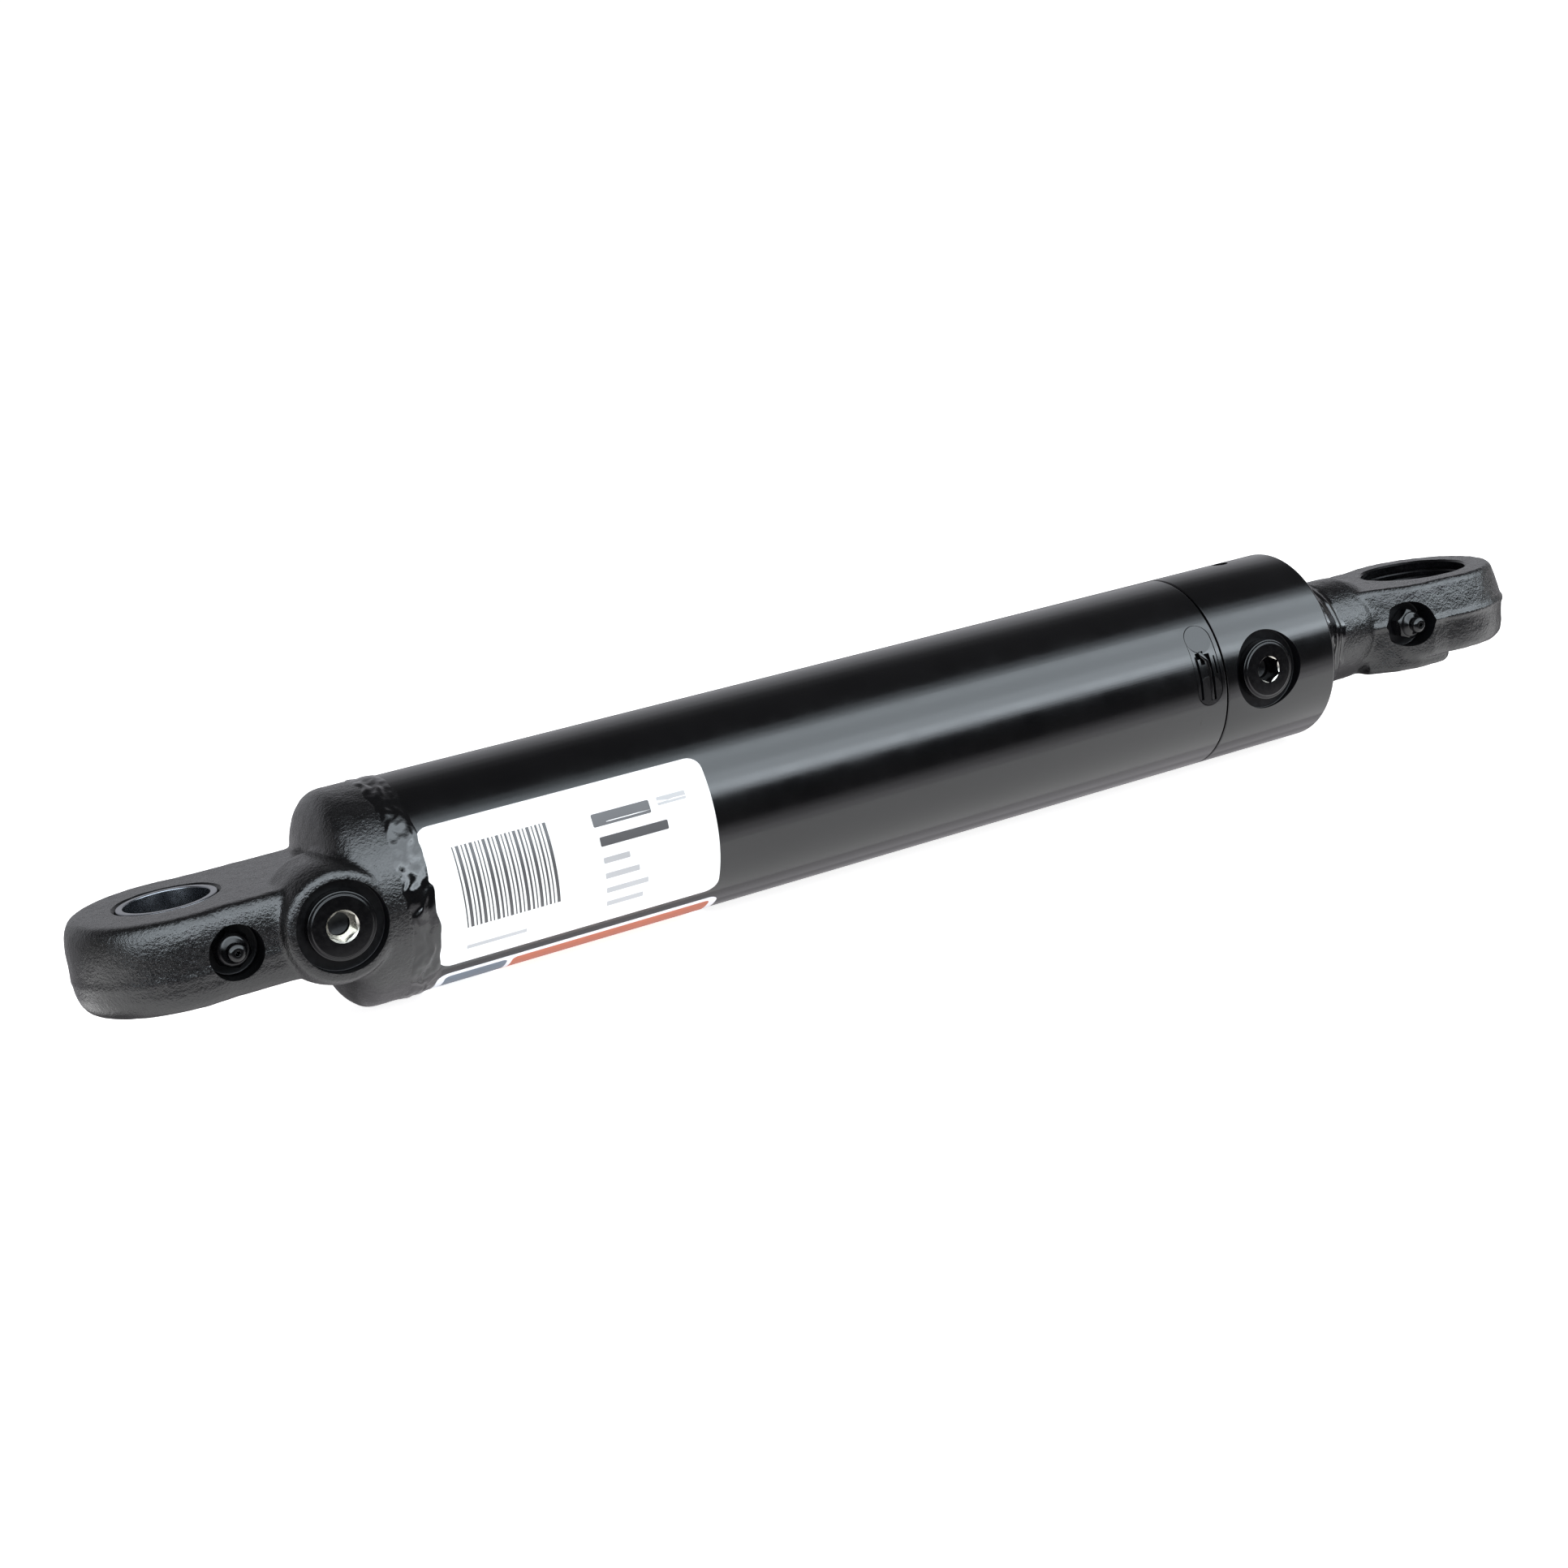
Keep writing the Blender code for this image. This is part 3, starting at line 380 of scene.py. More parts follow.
def label_film(name, colour, roughness=0.32):
    look = base_material(name, colour, roughness)
    light = tuple(min(1.0, c * 1.03) for c in colour)
    dark = tuple(c * 0.95 for c in colour)
    vary_colour(look, noise_texture(look, 60, 3), dark, light)
    bump(look, noise_texture(look, 300, 2), 0.00001, 0.4)
    return look


ENAMEL = barrel_enamel()
CAST = casting_enamel()
WELD = weld_enamel()
PLUG = plug_gloss()
PIT = pit_enamel()
SOCKET = bare_metal("bright_socket", (0.55, 0.53, 0.48), 0.26)
BUSHING = bare_metal("bushing_steel", (0.20, 0.21, 0.23), 0.22, 200)
CHROME = bare_metal("hard_chrome", (0.82, 0.82, 0.84), 0.07, 300)
STEEL = bare_metal("turned_steel", (0.50, 0.50, 0.51), 0.30)
ZINC = bare_metal("zinc_steel", (0.46, 0.46, 0.48), 0.32)
BALL = bare_metal("ball_steel", (0.70, 0.70, 0.72), 0.15)
SPRING = bare_metal("spring_steel", (0.40, 0.40, 0.42), 0.35)
RUBBER = rubber("seal_rubber", (0.014, 0.014, 0.015))
URETHANE = rubber("seal_urethane", (0.05, 0.12, 0.30), 0.42)
NYLON = rubber("wear_ring_nylon", (0.35, 0.30, 0.22), 0.5)
LABEL = label_film("label_white", (0.80, 0.82, 0.84))
INK = label_film("label_ink", (0.06, 0.06, 0.065), 0.4)
INK_GREY = label_film("label_ink_grey", (0.38, 0.39, 0.41), 0.4)
DECAL = label_film("decal_white", (0.74, 0.76, 0.80))
ORANGE = label_film("decal_orange", (0.42, 0.10, 0.04))
DECAL_GREY = label_film("decal_grey_blue", (0.10, 0.13, 0.17))


# ---------------------------------------------------------------- forged ends

def tang_outline(eye_x, half_width, eye_r, far_points, inset, count=64):
    """Half of a tang seen from above, pulled in by inset: far points, then the eye's arc."""
    radius = eye_r - inset
    width = half_width - inset
    meet = math.asin(min(0.999, width / radius))
    side = 1 if far_points[0][0] > eye_x else -1
    points = []
    for i in range(count + 1):
        angle = meet + (math.pi - meet) * i / count
        points.append((eye_x + side * radius * math.cos(angle), radius * math.sin(angle)))
    flare = [(x, max(0.002, y - inset)) for x, y in far_points]
    return flare + [(eye_x + side * radius * math.cos(meet), width)] + points[1:]


def tang_into(bm, eye_x, half_width, eye_r, far_points, sections):
    """Lofts a drafted tang through (height, inset) sections."""
    rows = []
    for height, inset in sections:
        half = tang_outline(eye_x, half_width, eye_r, far_points, inset)
        loop = [(x, -y) for x, y in half] + [(x, y) for x, y in reversed(half[:-1])]
        rows.append([bm.verts.new((x, y, height)) for x, y in loop])
    count = len(rows[0])
    for a, b in zip(rows, rows[1:]):
        for i in range(count):
            j = (i + 1) % count
            bm.faces.new((a[i], a[j], b[j], b[i]))
    bm.faces.new(rows[0])
    bm.faces.new(rows[-1])


def crowned_sections(half, above, below, parting, ridge):
    """Heights and insets of a crowned forged side, from below upwards, with a parting ridge.

    above and below list (share of the half height, inset) from the ridge to the rim.
    """
    sections = [(-half * share, inset) for share, inset in reversed(below)]
    sections += [
        (parting - 1.2 * MM, 0.3 * MM),
        (parting - 0.6 * MM, -ridge),
        (parting + 0.6 * MM, -ridge),
        (parting + 1.2 * MM, 0.3 * MM),
    ]
    return sections + [(half * share, inset) for share, inset in above]


def forge(name, bm, voxel, smoothing):
    """Welds overlapping solids into one skin with the soft fillets of a forging."""
    bmesh.ops.recalc_face_normals(bm, faces=bm.faces)
    skin = new_object(name, bm, [CAST])
    remesh = skin.modifiers.new("skin", "REMESH")
    remesh.mode = "VOXEL"
    remesh.voxel_size = voxel
    soften = skin.modifiers.new("soften", "SMOOTH")
    soften.factor = 0.5
    soften.iterations = smoothing
    return apply_modifiers(skin)


def roughen(skin, amount, scale):
    """Moves the skin in and out a little, as scale and dents of a forging do."""
    moved = []
    for vertex in skin.data.vertices:
        place_at = vertex.co * scale
        wave = noise.noise(place_at) + 0.5 * noise.noise(place_at * 2.7)
        moved.append((vertex.co.copy(), vertex.normal.copy() * amount * wave))
    for vertex, (start, shift) in zip(skin.data.vertices, moved):
        vertex.co = start + shift


def port_tool(name, x, floor):
    """The spotface and the threaded hole of a port that faces -Y."""
    profile = rounded([
        (floor + 20 * MM, 0.0),
        (floor + 20 * MM, SPOTFACE_R),
        (floor, SPOTFACE_R, 0.5 * MM),
        (floor, 11.3 * MM),
        (floor - 2.6 * MM, 9.5 * MM),
        (floor - 10.0 * MM, 9.5 * MM),
        (floor - 10.0 * MM, 0.0),
    ])
    return turned(name, profile, facing_viewer(x), [PIT], 128)


def fitting_tool(name, x, tip):
    """The round counterbore of a grease fitting."""
    seat = tip - COUNTERBORE_DEPTH
    profile = rounded([
        (tip + 15 * MM, 0.0),
        (tip + 15 * MM, COUNTERBORE_R),
        (seat, COUNTERBORE_R, 0.8 * MM),
        (seat, NIPPLE_BODY_R),
        (seat - 8 * MM, NIPPLE_BODY_R),
        (seat - 8 * MM, 0.0),
    ])
    return turned(name, profile, facing_viewer(x), [PIT], 96)


def base_casting():
    bm = bmesh.new()
    far = [(60 * MM, 34 * MM), (44 * MM, 34 * MM), (20 * MM, 34 * MM)]
    above = [(0.3, 0.35 * MM), (0.58, 0.8 * MM), (0.8, 1.7 * MM), (0.93, 3.0 * MM), (1.0, 4.6 * MM)]
    below = [(0.6, 0.6 * MM), (0.8, 1.5 * MM), (0.93, 2.9 * MM), (1.0, 4.4 * MM)]
    sections = crowned_sections(TANG_HALF, above, below, -4 * MM, 0.0)
    tang_into(bm, 0.0, 34 * MM, EYE_R, far, sections)
    cap_r = TUBE_R + 0.5 * MM
    cap = rounded([
        (BEAD_LOW_X + 1.5 * MM, 0.0),
        (BEAD_LOW_X + 1.5 * MM, cap_r - 1.8 * MM, 1 * MM),
        (BEAD_LOW_X - 0.3 * MM, cap_r),
        (55.8 * MM, cap_r, 7 * MM),
        (50.6 * MM, 33.4 * MM, 4 * MM),
        (47.2 * MM, 21 * MM),
        (47.2 * MM, 0.0),
    ], 8)
    turn_into(bm, cap, along_x(), 128)
    boss = rounded([
        (PLUG_FACE + 0.3 * MM, 0.0),
        (PLUG_FACE + 0.3 * MM, 18.4 * MM, 2.6 * MM),
        (30 * MM, 21.4 * MM, 6 * MM),
        (10 * MM, 22.2 * MM, 5 * MM),
        (8 * MM, 0.0),
    ], 8)
    turn_into(bm, boss, facing_viewer(PORT_X), 96)
    casting = forge("base_end_casting_skin", bm, 0.75 * MM, 14)
    roughen(casting, 0.10 * MM, 220)
    bore = rounded([
        (TANG_HALF + 10 * MM, 0.0),
        (TANG_HALF + 10 * MM, BUSHING_R + 11.2 * MM),
        (TANG_HALF - 1.0 * MM, BUSHING_R + 0.25 * MM),
        (-TANG_HALF + 1.0 * MM, BUSHING_R + 0.25 * MM),
        (-TANG_HALF - 10 * MM, BUSHING_R + 11.2 * MM),
        (-TANG_HALF - 10 * MM, 0.0),
    ])
    tools = [
        turned("bore_tool", bore, Matrix.Identity(4), [PIT], 128),
        port_tool("port_tool", PORT_X, PLUG_FACE - SPOTFACE_DEPTH),
        fitting_tool("fitting_tool", BASE_FITTING.x, BASE_TIP),
    ]
    cut(casting, tools)
    place(casting, "barrel", "black_casting", "base_end_casting")


def rod_casting():
    bm = bmesh.new()
    neck_x = ROD_BEAD_HIGH_X + 2.4 * MM
    far = [
        (neck_x + 11 * MM, 18.5 * MM),
        (neck_x + 16 * MM, 20.0 * MM),
        (neck_x + 21 * MM, 23.0 * MM),
        (neck_x + 26 * MM, 27.5 * MM),
        (neck_x + 31 * MM, 31.0 * MM),
        (neck_x + 37 * MM, 33.0 * MM),
    ]
    above = [(0.2, 0.7 * MM), (0.5, 1.7 * MM), (0.9, 3.2 * MM), (1.0, 4.6 * MM)]
    below = [(0.2, 0.5 * MM), (0.6, 0.9 * MM), (0.86, 1.7 * MM), (1.0, 3.6 * MM)]
    sections = crowned_sections(TANG_HALF, above, below, 0.0, 0.6 * MM)
    tang_into(bm, ROD_EYE_X, 33 * MM, EYE_R - 0.2 * MM, far, sections)
    neck = rounded([
        (neck_x + 30 * MM, 0.0),
        (neck_x + 28 * MM, 12 * MM),
        (neck_x + 21 * MM, 18.6 * MM, 4 * MM),
        (neck_x + 14 * MM, 21.3 * MM, 3 * MM),
        (neck_x - 1.5 * MM, 21.5 * MM),
        (neck_x - 2.5 * MM, 19 * MM),
        (neck_x - 2.5 * MM, 0.0),
    ], 8)
    turn_into(bm, neck, along_x(), 96)
    block = [
        (neck_x + 15 * MM, 17 * MM),
        (neck_x + 24 * MM, 25 * MM),
        (neck_x + 32 * MM, 28 * MM),
        (neck_x + 47 * MM, 28 * MM),
        (neck_x + 52 * MM, 24 * MM),
    ]
    rows = []
    for height, inset in ((-19.8 * MM, 2.2 * MM), (-18.4 * MM, 0.6 * MM), (-2 * MM, -0.6 * MM)):
        loop = [(x, -(y - inset)) for x, y in block] + [(x, y - inset) for x, y in reversed(block)]
        rows.append([bm.verts.new((x, y, height)) for x, y in loop])
    for a, b in zip(rows, rows[1:]):
        for i in range(len(a)):
            j = (i + 1) % len(a)
            bm.faces.new((a[i], a[j], b[j], b[i]))
    bm.faces.new(rows[0])
    bm.faces.new(rows[-1])
    casting = forge("rod_end_tang_skin", bm, 0.7 * MM, 7)
    roughen(casting, 0.12 * MM, 240)
    mouth = TANG_HALF + 10 * MM
    bore = [(mouth, 0.0), (mouth, ROD_EYE_R + 10.8 * MM), (TANG_HALF - 0.8 * MM, ROD_EYE_R)]
    for k in range(9):
        level = 11.5 * MM - 2.6 * MM * k
        depth = 1.3 * MM if k == 4 else 0.45 * MM
        bore += [(level + 0.8 * MM, ROD_EYE_R), (level + 0.3 * MM, ROD_EYE_R + depth)]
        bore += [(level - 0.3 * MM, ROD_EYE_R + depth), (level - 0.8 * MM, ROD_EYE_R)]
    bore += [(-TANG_HALF + 0.8 * MM, ROD_EYE_R), (-mouth, ROD_EYE_R + 10.8 * MM), (-mouth, 0.0)]
    tools = [
        turned("eye_tool", bore, Matrix.Translation((ROD_EYE_X, 0, 0)), [PLUG], 128),
        fitting_tool("fitting_tool", ROD_FITTING.x, ROD_TIP),
    ]
    cut(casting, tools)
    place(casting, "rod", "black_casting", "rod_end_tang")


# ---------------------------------------------------------------- barrel and gland

def ring_sector(name, x_low, x_high, inner, outer, low_deg, high_deg, materials, steps=64):
    """A stretch of a ring about the cylinder's axis."""
    bm = bmesh.new()
    rows = []
    for i in range(steps + 1):
        degrees = low_deg + (high_deg - low_deg) * i / steps
        corners = ((x_low, inner), (x_high, inner), (x_high, outer), (x_low, outer))
        rows.append([bm.verts.new(around(radius, degrees, x)) for x, radius in corners])
    for a, b in zip(rows, rows[1:]):
        for k in range(4):
            n = (k + 1) % 4
            bm.faces.new((a[k], a[n], b[n], b[k]))
    bm.faces.new(rows[0])
    bm.faces.new(rows[-1])
    bmesh.ops.recalc_face_normals(bm, faces=bm.faces)
    return new_object(name, bm, materials)


def radial_pin(name, x, degrees, radius, low, high, materials, steps=48):
    outward = around(1.0, degrees)
    turn = outward.to_track_quat("Z", "X").to_matrix().to_4x4()
    profile = [(high, 0.0), (high, radius), (low, radius), (low, 0.0)]
    return turned(name, profile, Matrix.Translation((x, 0, 0)) @ turn, materials, steps)


def barrel():
    inner = low_high("piston_seal", 2)[1] + 0.2 * MM
    half = 1.9 * MM
    profile = rounded([
        (TUBE_HIGH_X, inner),
        (TUBE_HIGH_X - 0.2 * MM, TUBE_R, 0.5 * MM),
        (BEAD_HIGH_X - 0.6 * MM, TUBE_R, 0.3 * MM),
        (TUBE_LOW_X, TUBE_R - 5 * MM),
        (TUBE_LOW_X, inner),
        (WIRE_X - half, inner),
        (WIRE_X - half, inner + 1.75 * MM),
        (WIRE_X + half, inner + 1.75 * MM),
        (WIRE_X + half, inner),
    ])
    tube = turned("barrel_tube_skin", profile, along_x(), [ENAMEL], 256)
    end_turn = math.degrees(SLOT_HALF / TUBE_R)
    low, high = SLOT_BOTTOM + end_turn, SLOT_TOP - end_turn
    below, above = TUBE_R - 12 * MM, TUBE_R + 8 * MM
    tools = [
        ring_sector("slot_tool", SLOT_X - SLOT_HALF, SLOT_X + SLOT_HALF, below, above, low, high, [ENAMEL]),
        radial_pin("slot_top_tool", SLOT_X, high, SLOT_HALF, below, above, [ENAMEL], 64),
        radial_pin("slot_low_tool", SLOT_X, low, SLOT_HALF, below, above, [ENAMEL], 64),
    ]
    cut(tube, tools)
    place(tube, "barrel", "black_paint", "barrel_tube")


def gland():
    """The visible head and the neck under the slot."""
    neck = TUBE_R - 6.7 * MM
    groove = 1.9 * MM
    seam = TUBE_HIGH_X + 0.5 * MM
    inner_x = low_high("gland_head", 0)[0]
    profile = rounded([
        (GLAND_FACE_X, WIPER_SEAT_R),
        (GLAND_FACE_X, TUBE_R - 1.1 * MM, 0.3 * MM),
        (GLAND_FACE_X - 1.1 * MM, TUBE_R, 0.6 * MM),
        (seam, TUBE_R, 0.6 * MM),
        (seam, neck),
        (WIRE_X + groove, neck),
        (WIRE_X + groove, neck - 1.6 * MM),
        (WIRE_X - groove, neck - 1.6 * MM),
        (WIRE_X - groove, neck),
        (inner_x, neck, 1.2 * MM),
        (inner_x, ROD_SEALS_R),
        (ROD_SEALS_LOW_X, ROD_SEALS_R),
        (ROD_SEALS_LOW_X, ROD_R + 0.35 * MM),
        (WIPER_SEAT_X, ROD_R + 0.35 * MM),
        (WIPER_SEAT_X, WIPER_SEAT_R),
    ])
    head = turned("gland_head_skin", profile, along_x(), [ENAMEL], 256)
    tools = [
        port_tool("gland_port_tool", GLAND_PORT_X, PLUG_FACE - SPOTFACE_DEPTH),
        radial_pin("spanner_tool", GLAND_FACE_X - 21.8 * MM, 92, 3.2 * MM, 31 * MM, 45 * MM, [PLUG]),
    ]
    cut(head, tools)
    place(head, "barrel", "black_paint", "gland_head")


def retaining_wire():
    """The tail of the wire ring lies in the slot, painted over."""
    points = []
    radius = TUBE_R - 6.45 * MM
    first, last = 52.0, 17.0
    sweep = 360.0 - (first - last)
    steps = 140
    for i in range(steps + 1):
        share = i / steps
        degrees = first + sweep * share
        lift = max(0.0, (share - 0.965) / 0.035)
        points.append(around(radius + 3.6 * MM * lift ** 1.4, degrees, WIRE_X - 1.2 * MM * lift))
    curve = bpy.data.curves.new("retaining_wire_round", "CURVE")
    curve.dimensions = "3D"
    curve.bevel_depth = 1.5 * MM
    curve.bevel_resolution = 4
    curve.use_fill_caps = True
    path = curve.splines.new("POLY")
    path.points.add(len(points) - 1)
    for point, at in zip(path.points, points):
        point.co = (*at, 1)
    curve.materials.append(ENAMEL)
    wire = bpy.data.objects.new("retaining_wire_round", curve)
    bpy.context.scene.collection.objects.link(wire)
    place(wire, "barrel", "wire_steel", "retaining_wire")


def slot_paint():
    """Paint and filler that bridge the slot, a hair below the tube's skin, open along the wire."""
    gap = 0.3 * MM
    end_turn = math.degrees(SLOT_HALF / TUBE_R)
    inner, outer = TUBE_R - 2.6 * MM, TUBE_R - 0.14 * MM
    low, high = SLOT_BOTTOM + end_turn, SLOT_TOP - end_turn
    left, right = SLOT_X - SLOT_HALF + gap, SLOT_X + SLOT_HALF - gap
    film = ring_sector("slot_paint_film", left, right, inner, outer, low, high, [ENAMEL])
    ends = [
        radial_pin("film_end", SLOT_X, degrees, SLOT_HALF - gap, inner, outer, [ENAMEL], 64)
        for degrees in (low, high)
    ]
    cut(film, ends, "UNION")
    deep, above = TUBE_R - 2.2 * MM, TUBE_R + 2 * MM
    breaks = [
        (WIRE_X - 4.9 * MM, WIRE_X - 3.7 * MM, -7.5, 18.5),
        (WIRE_X - 0.3 * MM, WIRE_X + 2.2 * MM, -9.0, 19.0),
        (WIRE_X - 4.2 * MM, WIRE_X - 1.6 * MM, 16.5, 20.5),
        (WIRE_X - 2.6 * MM, WIRE_X - 0.6 * MM, 13.0, 21.0),
        (WIRE_X + 3.6 * MM, WIRE_X + 4.3 * MM, 6.0, 17.0),
    ]
    tools = [ring_sector("break", a, b, deep, above, c, d, [PIT], 24) for a, b, c, d in breaks]
    cut(film, tools)
    place(film, "barrel", "black_paint")
    paint_runs()


def paint_runs():
    """The wire's hooked tip and two runs of paint beside it."""
    curve = bpy.data.curves.new("wire_hook_paint", "CURVE")
    curve.dimensions = "3D"
    curve.bevel_depth = 1.0 * MM
    curve.bevel_resolution = 4
    curve.use_fill_caps = True
    strokes = [
        [(-1.6, 21.0, -1.0, 0.8), (-1.2, 18.0, -0.3, 1.0), (0.4, 15.0, -0.5, 0.9), (0.9, 9.0, -1.0, 0.9),
         (1.0, 0.0, -1.2, 0.9), (1.0, -9.0, -0.9, 0.8), (1.1, -11.0, -0.6, 0.5)],
        [(-4.3, 17.5, -0.9, 0.5), (-4.3, 5.0, -1.1, 0.5), (-4.3, -7.0, -0.9, 0.4)],
        [(-4.6, -15.0, -0.16, 0.2), (-4.9, -22.0, -0.12, 0.25), (-5.3, -29.0, -0.2, 0.15)],
        [(0.6, -9.5, -0.45, 0.6), (2.0, -10.3, -0.4, 0.6)],
    ]
    for stroke in strokes:
        path = curve.splines.new("POLY")
        path.points.add(len(stroke) - 1)
        for point, (shift, degrees, rise, width) in zip(path.points, stroke):
            point.co = (*around(TUBE_R + rise * MM, degrees, WIRE_X + shift * MM), 1)
            point.radius = width
    curve.materials.append(ENAMEL)
    runs = bpy.data.objects.new("wire_hook_paint", curve)
    bpy.context.scene.collection.objects.link(runs)
    place(runs, "barrel", "black_paint")


# ---------------------------------------------------------------- welds

def weld_ring(name, x_low, x_high, profile_at, steps, materials):
    """A bead around the cylinder whose section changes with the angle."""
    bm = bmesh.new()
    rows = []
    for i in range(steps):
        degrees = 360.0 * i / steps
        rows.append([bm.verts.new(around(radius, degrees, x)) for x, radius in profile_at(degrees)])
    for i in range(steps):
        a, b = rows[i], rows[(i + 1) % steps]
        for k in range(len(a)):
            n = (k + 1) % len(a)
            bm.faces.new((a[k], a[n], b[n], b[k]))
    bmesh.ops.recalc_face_normals(bm, faces=bm.faces)
    return new_object(name, bm, materials, 60)


def base_weld():
    """Stacked ripples between cap and tube, with runs of paint."""
    low, high = BEAD_LOW_X - 3.5 * MM, BEAD_HIGH_X + 2.5 * MM
    middle = (low + high) / 2
    count = 22

    def section(degrees):
        angle = math.radians(degrees)
        points = []
        for k in range(count + 1):
            share = k / count
            x = low + (high - low) * share
            crown = math.sin(math.pi * share) ** 0.7
            across = x * 330 + 2.2 * math.cos(angle + 0.7)
            ripple = noise.noise((across * 1.7, math.cos(angle) * 10, math.sin(angle) * 10))
            lump = noise.noise((across, math.cos(angle) * 3.5, math.sin(angle) * 3.5))
            rise = (0.60 + 0.40 * ripple + 0.75 * lump) * crown * MM
            wander = 2.2 * MM * noise.noise((math.cos(angle) * 6, math.sin(angle) * 6, 7.7 + 2 * share))
            edge = 1.0 - abs(2 * share - 1)
            points.append((x + wander * (0.4 + 0.6 * edge), TUBE_R + 0.05 * MM + rise))
        root = TUBE_R - 0.7 * MM
        return points + [(high - 2 * MM, root), (middle, TUBE_R - 3 * MM), (low + 2 * MM, root)]

    bead = weld_ring("base_weld_bead_rippled", low, high, section, 720, [WELD])
    place(bead, "barrel", "painted_weld", "base_weld_bead")


def rod_weld():
    """The heavy glossy weld between rod and rod end."""
    low, high = ROD_BEAD_LOW_X, ROD_BEAD_HIGH_X + 4.5 * MM
    count = 30
    outline = [
        (0, ROD_R + 0.2 * MM), (0.05, 21.6 * MM), (0.12, 23.5 * MM), (0.24, 24.5 * MM), (0.36, 24.6 * MM),
        (0.5, 23.9 * MM), (0.6, 22.9 * MM), (0.68, 22.1 * MM), (0.74, 22.3 * MM), (0.8, 21.6 * MM),
        (1.0, 21.2 * MM),
    ]

    def section(degrees):
        angle = math.radians(degrees)
        points = []
        for k in range(count + 1):
            share = k / count
            x = low + (high - low) * share
            a, b = next((p, q) for p, q in zip(outline, outline[1:]) if share <= q[0])
            radius = a[1] + (b[1] - a[1]) * (share - a[0]) / (b[0] - a[0])
            fade = math.sin(math.pi * min(1.0, share * 1.02)) ** 0.5
            lump = noise.noise((x * 75, math.cos(angle) * 2.2, math.sin(angle) * 2.2))
            small = noise.noise((x * 300, math.cos(angle) * 6.0, math.sin(angle) * 6.0))
            shift = 1.4 * MM * fade * noise.noise((math.cos(angle) * 1.8, math.sin(angle) * 1.8, 2.0))
            points.append((x + shift, radius + (0.75 * lump + 0.2 * small) * fade * MM))
        inner = [(high - 1 * MM, 19 * MM), (low + 8 * MM, 12.5 * MM), (low + 1.5 * MM, ROD_R - 1.5 * MM)]
        return points + inner

    bead = weld_ring("rod_weld_bead_rippled", low, high, section, 540, [WELD])
    place(bead, "rod", "painted_weld", "rod_weld_bead")


# ---------------------------------------------------------------- plugs, fittings, bushing

def plug(name, x, walls, chamfer, cad_node):
    face = PLUG_FACE
    floor = face - SPOTFACE_DEPTH + 0.3 * MM
    profile = rounded([
        (face, 0.0),
        (face, PLUG_R - 1.5 * MM, 0.2 * MM),
        (face - 0.35 * MM, PLUG_R - 1.2 * MM, 0.3 * MM),
        (face - 0.5 * MM, PLUG_R, 0.5 * MM),
        (floor, PLUG_R, 0.3 * MM),
        (floor, 8.6 * MM),
        (floor - 2.8 * MM, 8.6 * MM),
        (floor - 3.4 * MM, 9.2 * MM),
        (floor - 9.5 * MM, 9.2 * MM, 0.6 * MM),
        (floor - 9.5 * MM, 0.0),
    ])
    head = turned(name, profile, facing_viewer(x), [PLUG, SOCKET], 128)
    bm = bmesh.new()
    prism_into(bm, 9.5 * MM, face - 5.2 * MM, face + 4 * MM, facing_viewer(x))
    hexagon = new_object("hex_tool", bm, [walls], 30)
    rim = [
        (face + 3 * MM, 0.0),
        (face + 3 * MM, chamfer + 3 * MM),
        (face - 0.7 * MM, chamfer - 0.7 * MM),
        (face - 0.7 * MM, 0.0),
    ]
    cone = turned("rim_tool", rim, facing_viewer(x), [SOCKET], 96)
    pit = [
        (face - 4 * MM, 0.0),
        (face - 4 * MM, 3.9 * MM),
        (face - 7.2 * MM, 3.9 * MM),
        (face - 9 * MM, 0.0),
    ]
    drill = turned("drill_tool", pit, facing_viewer(x), [PIT], 48)
    cut(head, [hexagon, cone, drill])
    place(head, "barrel", "plug_black", cad_node)


def fitting(name, x, tip, body, cad_node):
    """A grease nipple: painted hexagon, neck, and round head with its small inlet."""
    spindle = rounded([
        (tip, 0.9 * MM, 0.1 * MM),
        (tip, 1.9 * MM, 0.4 * MM),
        (tip - 0.9 * MM, 3.1 * MM, 0.5 * MM),
        (tip - 2.1 * MM, 3.3 * MM, 0.5 * MM),
        (tip - 3.4 * MM, 2.6 * MM, 0.6 * MM),
        (tip - 4.4 * MM, 2.45 * MM, 0.5 * MM),
        (tip - 5.3 * MM, 3.7 * MM, 0.4 * MM),
        (tip - 6.2 * MM, NIPPLE_BODY_R),
        (tip - 10.6 * MM, NIPPLE_BODY_R),
        (tip - 11.0 * MM, 4.9 * MM),
        (tip - 18.8 * MM, 4.4 * MM, 0.3 * MM),
        (tip - 18.8 * MM, 1.9 * MM),
        (tip - 2.4 * MM, 1.9 * MM),
        (tip - 1.2 * MM, 0.9 * MM),
    ], 4)
    piece = turned(name, spindle, facing_viewer(x), [PLUG], 64)
    bm = bmesh.new()
    prism_into(bm, 11.1 * MM, tip - 10.9 * MM, tip - 5.9 * MM, facing_viewer(x), math.radians(8))
    flats = new_object("flats_tool", bm, [PLUG], 30)
    crown = rounded([
        (tip - 5.9 * MM, 0.0),
        (tip - 5.9 * MM, NIPPLE_BODY_R),
        (tip - 7.0 * MM, 6.6 * MM),
        (tip - 12 * MM, 6.6 * MM),
        (tip - 12 * MM, 0.0),
    ])
    rounding = turned("crown_tool", crown, facing_viewer(x), [PLUG], 96)
    cut(flats, [rounding], "INTERSECT")
    channel_profile = [(tip, 0.0), (tip, 1.9 * MM), (tip - 20 * MM, 1.9 * MM), (tip - 20 * MM, 0.0)]
    channel = turned("channel_tool", channel_profile, facing_viewer(x), [PLUG], 48)
    cut(flats, [channel])
    cut(piece, [flats], "UNION")
    place(piece, body, "zinc_steel", cad_node)


